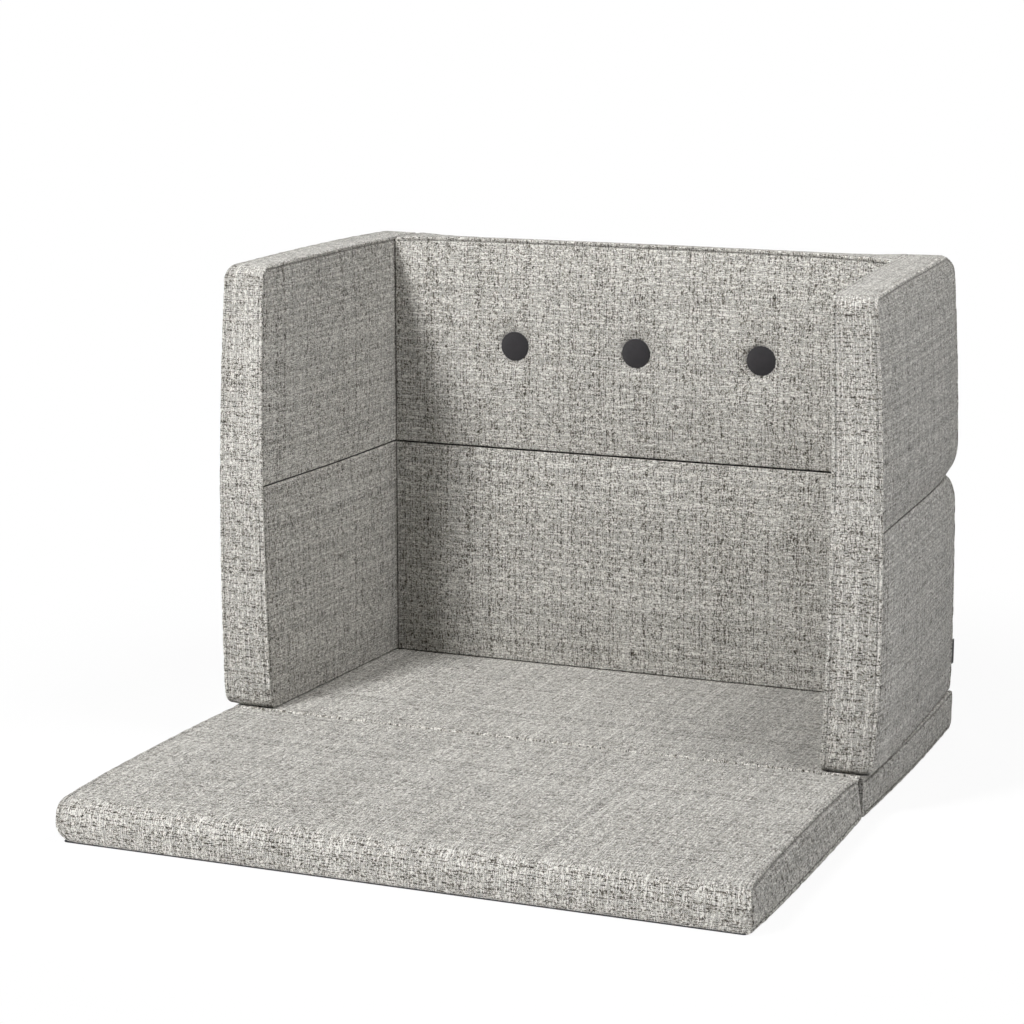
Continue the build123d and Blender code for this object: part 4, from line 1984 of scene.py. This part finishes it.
@dataclass
class HingeCloths:
    """The strips of cloth that join the mats and the tiers."""

    finishes: Finishes
    seam: Seam = Seam()
    seat_reach: float = 9 * MM
    front_reach: float = 22 * MM
    rear_reach: float = 20 * MM
    rear_margin: float = 14 * MM
    thick: float = 0.8 * MM
    seat_proud: float = 0.35 * MM
    end_ease: float = 4 * MM
    bead_rise: float = 2.0 * MM
    bead_width: float = 1.3 * MM
    bead_wander: float = 0.5 * MM
    fold_at: float = 2.4 * MM
    fold_depth: float = 1.5 * MM
    fold_width: float = 0.8 * MM
    crease_depth: float = 0.35 * MM
    crease_width: float = 1.8 * MM
    bend_reach: float = 1.6 * MM
    corner_turn: float = math.radians(62)
    step: float = 3 * MM
    section_places: int = 61
    rear_section_places: int = 41
    turn_places: int = 12
    straight_places: int = 14
    wander_waves: tuple = ((61, 0), (97, 1), (181, 2))
    ridge_painted_highlight: float = 1.3
    fold_painted_shade: float = 1.5
    front_sink: float = 0.7
    seat_power: int = 3
    front_power: int = 4

    def join(
        self,
        piece: bpy.types.Object,
        flat: tuple[float, float],
    ) -> None:
        """Args:
            piece: the strip, named as its CAD tape but for the last word.
            flat: width and length of the strip laid flat; not used.
        """
        dress(piece, self.finishes.upholstery)
        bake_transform(piece)
        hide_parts(piece.name.replace("_cloth", "_tape"))
        log.info("%s", piece.name)

    def level_line(self, half: float, middle: Triple) -> Array:
        """Points a step apart along X, as far as half on either side of the middle."""
        x = np.linspace(-half, half, round(2 * half / self.step) + 1)
        return np.stack(np.broadcast_arrays(x, *middle[1:]), -1)

    def seat(self) -> None:
        """The strip over the fold of the mats, with its sewn ridge.

        Its height is a bell curve on the fold with a groove in front of it,
        and it sinks into the mats' tops at both edges with the cube of the
        share across.
        """
        across = np.linspace(-1, 1, self.section_places)
        place = across * self.seat_reach
        ridge = self.bead_rise * bell(place, self.bead_width)
        fold = bell(place + self.fold_at, self.fold_width)
        heights = self.seat_proud + ridge - self.fold_depth * fold
        heights = heights - self.thick * np.abs(across) ** self.seat_power
        half = SIZES.mat_width / 2 - self.end_ease
        middle = (0, SIZES.fold_y, SIZES.mat_height)
        spine = self.level_line(half, middle)
        wander = sum(np.sin(spine[:, 0] * wave + phase) for wave, phase in self.wander_waves)
        spine[:, 1] += self.bead_wander / len(self.wander_waves) * wander
        # The ridge carries painted highlight and the fold painted shade, through the cloth's sewing
        # relief.
        strip = Strip("seat_hinge_cloth", place, heights, self.thick, spine,
                      np.array([[0, 0, 1]]), (0, 1, 0),
                      self.ridge_painted_highlight * ridge / self.bead_rise - self.fold_painted_shade * fold)
        self.join(strip.build(Warp(), np.zeros(len(spine))),
                  (2 * half, 2 * self.seat_reach))

    def front(self, side: Side) -> None:
        """The cloth that runs on over one arm's front across the two tiers.

        It follows the arm's front and both sewn edges: the line across the arm
        turns round each edge by an arc and rises by the seam's own relief. It
        sinks at both ends and has a shallow bell-shaped crease at the tier.

        Args:
            side: the left or the right arm.
        """
        across = np.linspace(-1, 1, self.section_places)
        place = across * self.front_reach
        crease = self.crease_depth * bell(place, self.crease_width)
        sunk = self.front_sink * self.thick * np.abs(across) ** self.front_power
        heights = self.thick / 2 - crease - sunk
        ease = self.seam.ease
        turn = np.linspace(self.corner_turn, 0, self.turn_places)
        straight = np.linspace(ease, SIZES.arm_thick - ease, self.straight_places + 2)[1:-1]
        facing = np.concatenate([-turn, 0 * straight, turn[::-1]])
        middles = np.concatenate([0 * turn + ease, straight, 0 * turn + SIZES.arm_thick - ease])
        u = middles + ease * np.sin(facing)
        depth = ease - ease * np.cos(facing)
        to_edge = np.minimum(u, SIZES.arm_thick - u) - ease
        arc = np.where(np.abs(facing) > 0, ease * np.abs(facing), -np.maximum(to_edge, 0))
        relief = np.maximum(self.seam.relief(arc - math.pi / 4 * ease), -self.seam.strip_depth)
        sine, cosine = math.sin(SIZES.splay), math.cos(SIZES.splay)
        out, fore = np.array([cosine, sine, 0]), np.array([sine, -cosine, 0])
        middle = (0, SIZES.fold_y, SIZES.tier_z + SIZES.rest_gap / 2)
        inner = np.array([SIZES.arm_inner_x, *middle[1:]])
        normals = np.outer(np.sin(facing), out) + np.outer(np.cos(facing), fore)
        spine = inner + np.outer(u, out) - np.outer(depth, fore) + relief[:, None] * normals
        flip = np.array([side.value, 1, 1])
        strip = Strip(side.label + "_front_hinge_cloth", place, heights, self.thick, spine * flip,
                      normals * flip, (0, 0, 1), np.zeros(len(place)))
        self.join(strip.build(WallWarp(), u / SIZES.arm_thick),
                  (SIZES.arm_thick + ease, 2 * self.front_reach))

    def rear(self) -> None:
        """The strip that joins the foot of the lower back to the rear mat."""
        across = np.linspace(-1, 1, self.rear_section_places)
        place = across * self.rear_reach
        crease = self.crease_depth * bell(place, self.crease_width)
        half = SIZES.inner_half_width(SIZES.rear_y) - self.rear_margin
        middle = (0, SIZES.rear_y, SIZES.mat_height + SIZES.rest_gap / 2)
        spine = self.level_line(half, middle)
        strip = Strip("rear_hinge_cloth", place, self.thick - crease, self.thick, spine,
                      np.array([[0, 1, 0]]), (0, 0, 1), np.zeros(len(place)))
        self.join(strip.build(Warp(), np.zeros(len(spine))),
                  (2 * half, 2 * self.rear_reach))

    def build(self) -> None:
        """Makes every hinge cloth."""
        self.seat()
        self.front(Side.LEFT)
        self.front(Side.RIGHT)
        self.rear()


@dataclass
class GripCloths:
    """Thin non-slip cloths under both mats."""

    finishes: Finishes
    margin: float = 4 * MM
    round: float = 5 * MM
    step: float = 12 * MM
    edge_rows: int = 4
    nose_reach: float = 0.5 * MM

    def cloth(self, label: str, body: Body, low_y: float, high_y: float) -> None:
        """One cloth: a rounded rectangle whose edge is a half round.

        Args:
            label: name of the mat above it.
            body: what it rides on.
            low_y: its front edge.
            high_y: its rear edge.
        """
        width = SIZES.mat_width - 2 * self.margin
        depth = high_y - low_y
        thick = SIZES.grip_thick
        block = Block(
            name=label + "_grip_cloth",
            body=body,
            plane=Plane((0, 0, 0), (1, 0, 0), (0, 0, 1)),
            lengths=(width, width), height=depth, thick=thick,
            rounds=(self.round,) * 4, seed=0, panel_step=self.step,
        )
        outline = Outline(block, self.step)
        turn = np.linspace(math.pi / 2, -math.pi / 2, 2 * self.edge_rows + 1)
        rows = round(block.deepest / self.step)
        flat = np.linspace(block.deepest, thick / 2, rows, endpoint=False)
        inset = np.concatenate([flat, thick / 2 * (1 - np.cos(turn)), flat[::-1]])
        edge_z = thick / 2 * (1 - np.sin(turn))
        z = np.concatenate([np.zeros(rows), edge_z, np.full(rows, thick)])
        rings = outline.rings(inset, np.full(len(inset), width))
        piece = mesh_from_quads(block.name, with_height(rings, z) + [0, low_y, 0],
                                grid_quads(len(inset), outline.columns, wraps=True))
        dress(piece, self.finishes.grip)
        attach(piece, body.value)
        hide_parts(label.replace("_mat", "") + "_grip_cloth")
        log.info("%s", block.name)

    def build(self) -> None:
        """Makes both cloths."""
        self.cloth("base_mat", Body.BASE, SIZES.fold_y + self.margin, SIZES.rear_y - self.margin)
        front = SIZES.fold_y - SIZES.flap_depth - self.nose_reach
        self.cloth("front_mat", Body.FRONT_MAT, front, SIZES.fold_y - self.margin)


@dataclass
class Buttons:
    """Cloth-covered buttons on the upper back, with what holds them inside."""

    finishes: Finishes
    radius: float = 17.3 * MM
    rim: float = 3 * MM
    dome: float = 3.5 * MM
    tuck: float = 1.6 * MM
    pleat_rise: float = 0.25 * MM
    pleats: int = 26
    pleat_power: int = 8
    dome_power: float = 2.4
    dome_rows: int = 14
    rim_rows: int = 12
    back_rows: int = 8
    columns: int = 78
    seat_drop: float = 4.6 * MM

    def build(self) -> None:
        """Makes the buttons and dresses the pieces behind them.

        A button is a profile turned about its axis: a dome, a rounded rim and a
        tucked back. Its pleats are a sine of the angle that grows at the rim.
        """
        slope = np.linspace(0, 1, self.dome_rows)
        dome_r = slope * (self.radius - self.rim / 2)
        dome_z = self.rim + self.dome * (1 - slope**self.dome_power)
        turn = np.linspace(0, math.pi, self.rim_rows)[1:]
        rim_r = self.radius - self.rim / 2 + self.rim / 2 * np.sin(turn)
        rim_z = self.rim / 2 + self.rim / 2 * np.cos(turn)
        back_r = np.linspace(self.radius - self.rim / 2, 0, self.back_rows)[1:]
        back_z = np.linspace(0, self.tuck, self.back_rows)[1:]
        radius = np.concatenate([dome_r, rim_r, back_r])
        z = np.concatenate([dome_z, rim_z, back_z])
        angle = np.arange(self.columns) / self.columns * FULL_TURN
        share = np.clip(radius / self.radius, 0, 1) ** self.pleat_power
        ripple = self.pleat_rise * np.outer(share, np.cos(self.pleats * angle))
        pleated = radius[:, None] - ripple
        across = pleated * np.cos(angle)
        upward = pleated * np.sin(angle)
        outward = np.broadcast_to(z[:, None], across.shape)
        one = np.stack([across, -outward, upward], -1).reshape(-1, 3)
        panel_y = SIZES.back_front_y - SIZES.panel_crown + self.seat_drop
        places = [(x, panel_y, SIZES.upper_foot_z + up) for x, up in SIZES.button_places()]
        quads = grid_quads(len(radius), self.columns, wraps=True)
        piece = mesh_from_quads("back_button_caps", one + np.array(places)[:, None],
                                copied_quads(quads, len(one), len(places)))
        dress(piece, self.finishes.button)
        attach(piece, Body.UPPER.value)
        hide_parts("back_buttons")
        for node, material, slot in (("button_plates", self.finishes.metal, Slot.BUTTON_METAL),
                                     ("button_cords", self.finishes.cord, Slot.CORD),
                                     ("anchor_discs", self.finishes.plastic, Slot.ANCHOR_PLASTIC)):
            dress(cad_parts[node], material)
        log.info("buttons")


@dataclass
class SideTab:
    """A blank loop of woven tape sewn into the rear seam of the lower right arm."""

    finishes: Finishes
    thick: float = 0.6 * MM
    columns: int = 12
    rows: int = 14
    seam_gap: float = 4 * MM
    lean: float = 2 * MM
    bulge_share: float = 0.45
    bulge_stretch: float = 1.1
    corner_share: float = 0.04
    corner_power: int = 8

    def build(self) -> None:
        """Makes the tab at the outer rear seam, as tall and as deep as its node.

        Its section is a loop of two layers that bulge apart by a sine and lean
        outwards, carried upwards; the loop's end is drawn in a little at the
        tab's corners.
        """
        low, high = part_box("side_tab")
        out = np.linspace(0, 1, self.columns)
        swell = np.sin(math.pi * np.clip(out * self.bulge_stretch, 0, 1))
        bulge = self.thick * (1 - self.bulge_share + self.bulge_share * swell)
        bulge[-1] = 0
        section_out = np.concatenate([out, out[::-1][1:-1]])
        section_side = np.concatenate([bulge, -bulge[::-1][1:-1]])
        up = np.linspace(0, 1, self.rows)[:, None]
        drawn = 1 - self.corner_share * (2 * up - 1) ** self.corner_power * section_out[None] ** 2
        outer = SIZES.inner_half_width(SIZES.rear_y) + SIZES.arm_thick / math.cos(SIZES.splay)
        root = outer - self.seam_gap
        y = low.y + (high.y - low.y) * section_out[None] * drawn
        x = root + section_side[None] + self.lean * section_out[None] * drawn
        z = low.z + (high.z - low.z) * np.broadcast_to(up, y.shape)
        points = np.stack([x, y, z], -1).reshape(-1, 3)
        points = points + WallWarp().moves(points, np.ones(len(points)))
        columns = len(section_out)
        quads = grid_quads(self.rows, columns, wraps=True)
        caps = end_caps(self.rows, columns, self.columns, shared=True)
        piece = mesh_from_quads("blank_side_tab", points, np.concatenate([quads, caps]))
        dress(piece, self.finishes.tab)
        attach(piece, Body.LOWER.value)
        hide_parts("side_tab")
        log.info("side tab")


@dataclass(frozen=True)
class Lamp:
    """A square studio lamp.

    Its place is an angle round the sofa, from straight in front towards +X,
    and an angle up. A level of 1 shows a white surface that faces it as white.
    """

    name: str
    round_deg: float
    up_deg: float
    distance: float
    size: float
    level: float

    def place(self, aim: Array) -> None:
        """Sets the lamp up, facing aim.

        Args:
            aim: the point that it faces.
        """
        turn, up = math.radians(self.round_deg), math.radians(self.up_deg)
        level = math.cos(up)
        away = np.array([math.sin(turn) * level, -math.cos(turn) * level, math.sin(up)])
        light = bpy.data.lights.new(self.name, "AREA")
        light.shape = "SQUARE"
        light.size = self.size
        light.energy = self.level * (math.pi * self.distance) ** 2
        lamp = placed(self.name, light)
        lamp.location = aim + away * self.distance
        lamp.rotation_euler = (math.pi / 2 - up, 0, turn)


@dataclass
class Studio:
    """Camera, lamps, floor and background."""

    camera_place: Triple = (1128.6 * MM, -3007.6 * MM, 923.5 * MM)
    camera_turn_deg: float = 22.309
    camera_down_deg: float = 11.615
    lens: float = 101.4
    sensor: float = 36.0
    aim: Triple = (0.0, -100 * MM, 250 * MM)
    floor_radius: float = 40.0
    floor_drop: float = 0.5 * MM
    floor_rings: tuple[float, ...] = (0.0, 1.0, 4.0)
    floor_sides: int = 64
    floor_bounce: float = 0.92
    floor_shown: float = 0.95
    floor_glow: float = 0.91
    glow_from: float = 0.5
    glow_to: float = 1.0
    horizon: float = 0.01
    zenith: float = 0.04
    lamps: tuple[Lamp, ...] = (
        Lamp("key", -26.3, 38.8, 3.35, 0.60, 0.94),
        Lamp("fill", 70, 33, 6.0, 2.4, 0.08),
        Lamp("top", 84, 64, 2.2, 0.9, 0.54),
        Lamp("back", 205, 28, 5.0, 2.4, 0.20),
    )

    def camera(self) -> None:
        """The camera, at the photograph's place and angle."""
        data = bpy.data.cameras.new("camera")
        data.sensor_width = self.sensor
        data.lens = self.lens
        camera = placed("camera", data)
        camera.location = self.camera_place
        camera.rotation_euler = (math.radians(90 - self.camera_down_deg), 0,
                                 math.radians(self.camera_turn_deg))
        bpy.context.scene.camera = camera

    def light(self) -> None:
        """Sets up every lamp, facing the sofa."""
        for lamp in self.lamps:
            lamp.place(np.array(self.aim))

    def world(self) -> None:
        """Soft light that is stronger from above, with a white background."""
        world = bpy.data.worlds.new("studio")
        bpy.context.scene.world = world
        world.use_nodes = True
        wiring = Wiring(world.node_tree)
        up = wiring.axes(wiring.signal("ShaderNodeTexCoord", None, "Generated"))[2]
        level = wiring.spread(up, 0.0, 1.0, self.horizon, self.zenith)
        inputs = {0: wiring.sees_background(), 2: level, 3: 1.0}
        strength = wiring.signal("ShaderNodeMix", inputs, data_type="FLOAT")
        background = wiring.tree.nodes["Background"]
        wiring.feed(background.inputs["Color"], (1, 1, 1, 1))
        wiring.feed(background.inputs["Strength"], strength)

    def floor_material(self) -> bpy.types.Material:
        """Makes a pale surface that looks white and keeps a soft shadow.

        Its own light takes over with the distance from the sofa, so that it
        runs into the white background without an edge.

        Returns:
            The material.
        """
        wiring = Finish("floor")
        wiring.tree.nodes.remove(wiring.shader)
        colours = [(level,) * 3 + (1,) for level in (self.floor_bounce, self.floor_shown)]
        bounce, shown = [wiring.signal("ShaderNodeBsdfDiffuse", {"Color": c}) for c in colours]
        glow = wiring.signal("ShaderNodeEmission", {"Strength": 1.0})
        place = wiring.signal("ShaderNodeTexCoord", None, "Object")
        away = wiring.signal("ShaderNodeVectorMath", {0: place}, "Value", operation="LENGTH")
        share = wiring.spread(away, self.glow_from, self.glow_to, self.floor_glow, 1.0,
                              interpolation_type="SMOOTHSTEP")
        white = wiring.signal("ShaderNodeMixShader", {0: share, 1: shown, 2: glow})
        seen = wiring.sees_background()
        chosen = wiring.signal("ShaderNodeMixShader", {0: seen, 1: bounce, 2: white})
        wiring.feed(wiring.tree.nodes["Material Output"].inputs["Surface"], chosen)
        return wiring.material

    def floor(self) -> None:
        """A large flat disc: rings of points round the sofa's middle."""
        angle = np.arange(self.floor_sides) / self.floor_sides * FULL_TURN
        radius = np.array([*self.floor_rings, self.floor_radius])
        xs, ys = np.outer(radius, np.cos(angle)), np.outer(radius, np.sin(angle))
        points = np.stack([xs, ys, np.full(xs.shape, -self.floor_drop)], -1)
        quads = grid_quads(len(radius), self.floor_sides, wraps=True)
        piece = mesh_from_quads("floor", points, quads)
        piece.data.materials.append(self.floor_material())

    def build(self) -> None:
        """Sets up the whole studio."""
        self.camera()
        self.light()
        self.world()
        self.floor()
        bpy.context.scene.view_settings.view_transform = "Standard"


def main() -> None:
    """Builds the sofa from the floor up, then its studio."""
    finishes = Finishes()
    FoamBlocks(finishes).build()
    HingeCloths(finishes).build()
    GripCloths(finishes).build()
    Buttons(finishes).build()
    SideTab(finishes).build()
    Studio().build()


if __name__ == "__main__":
    main()
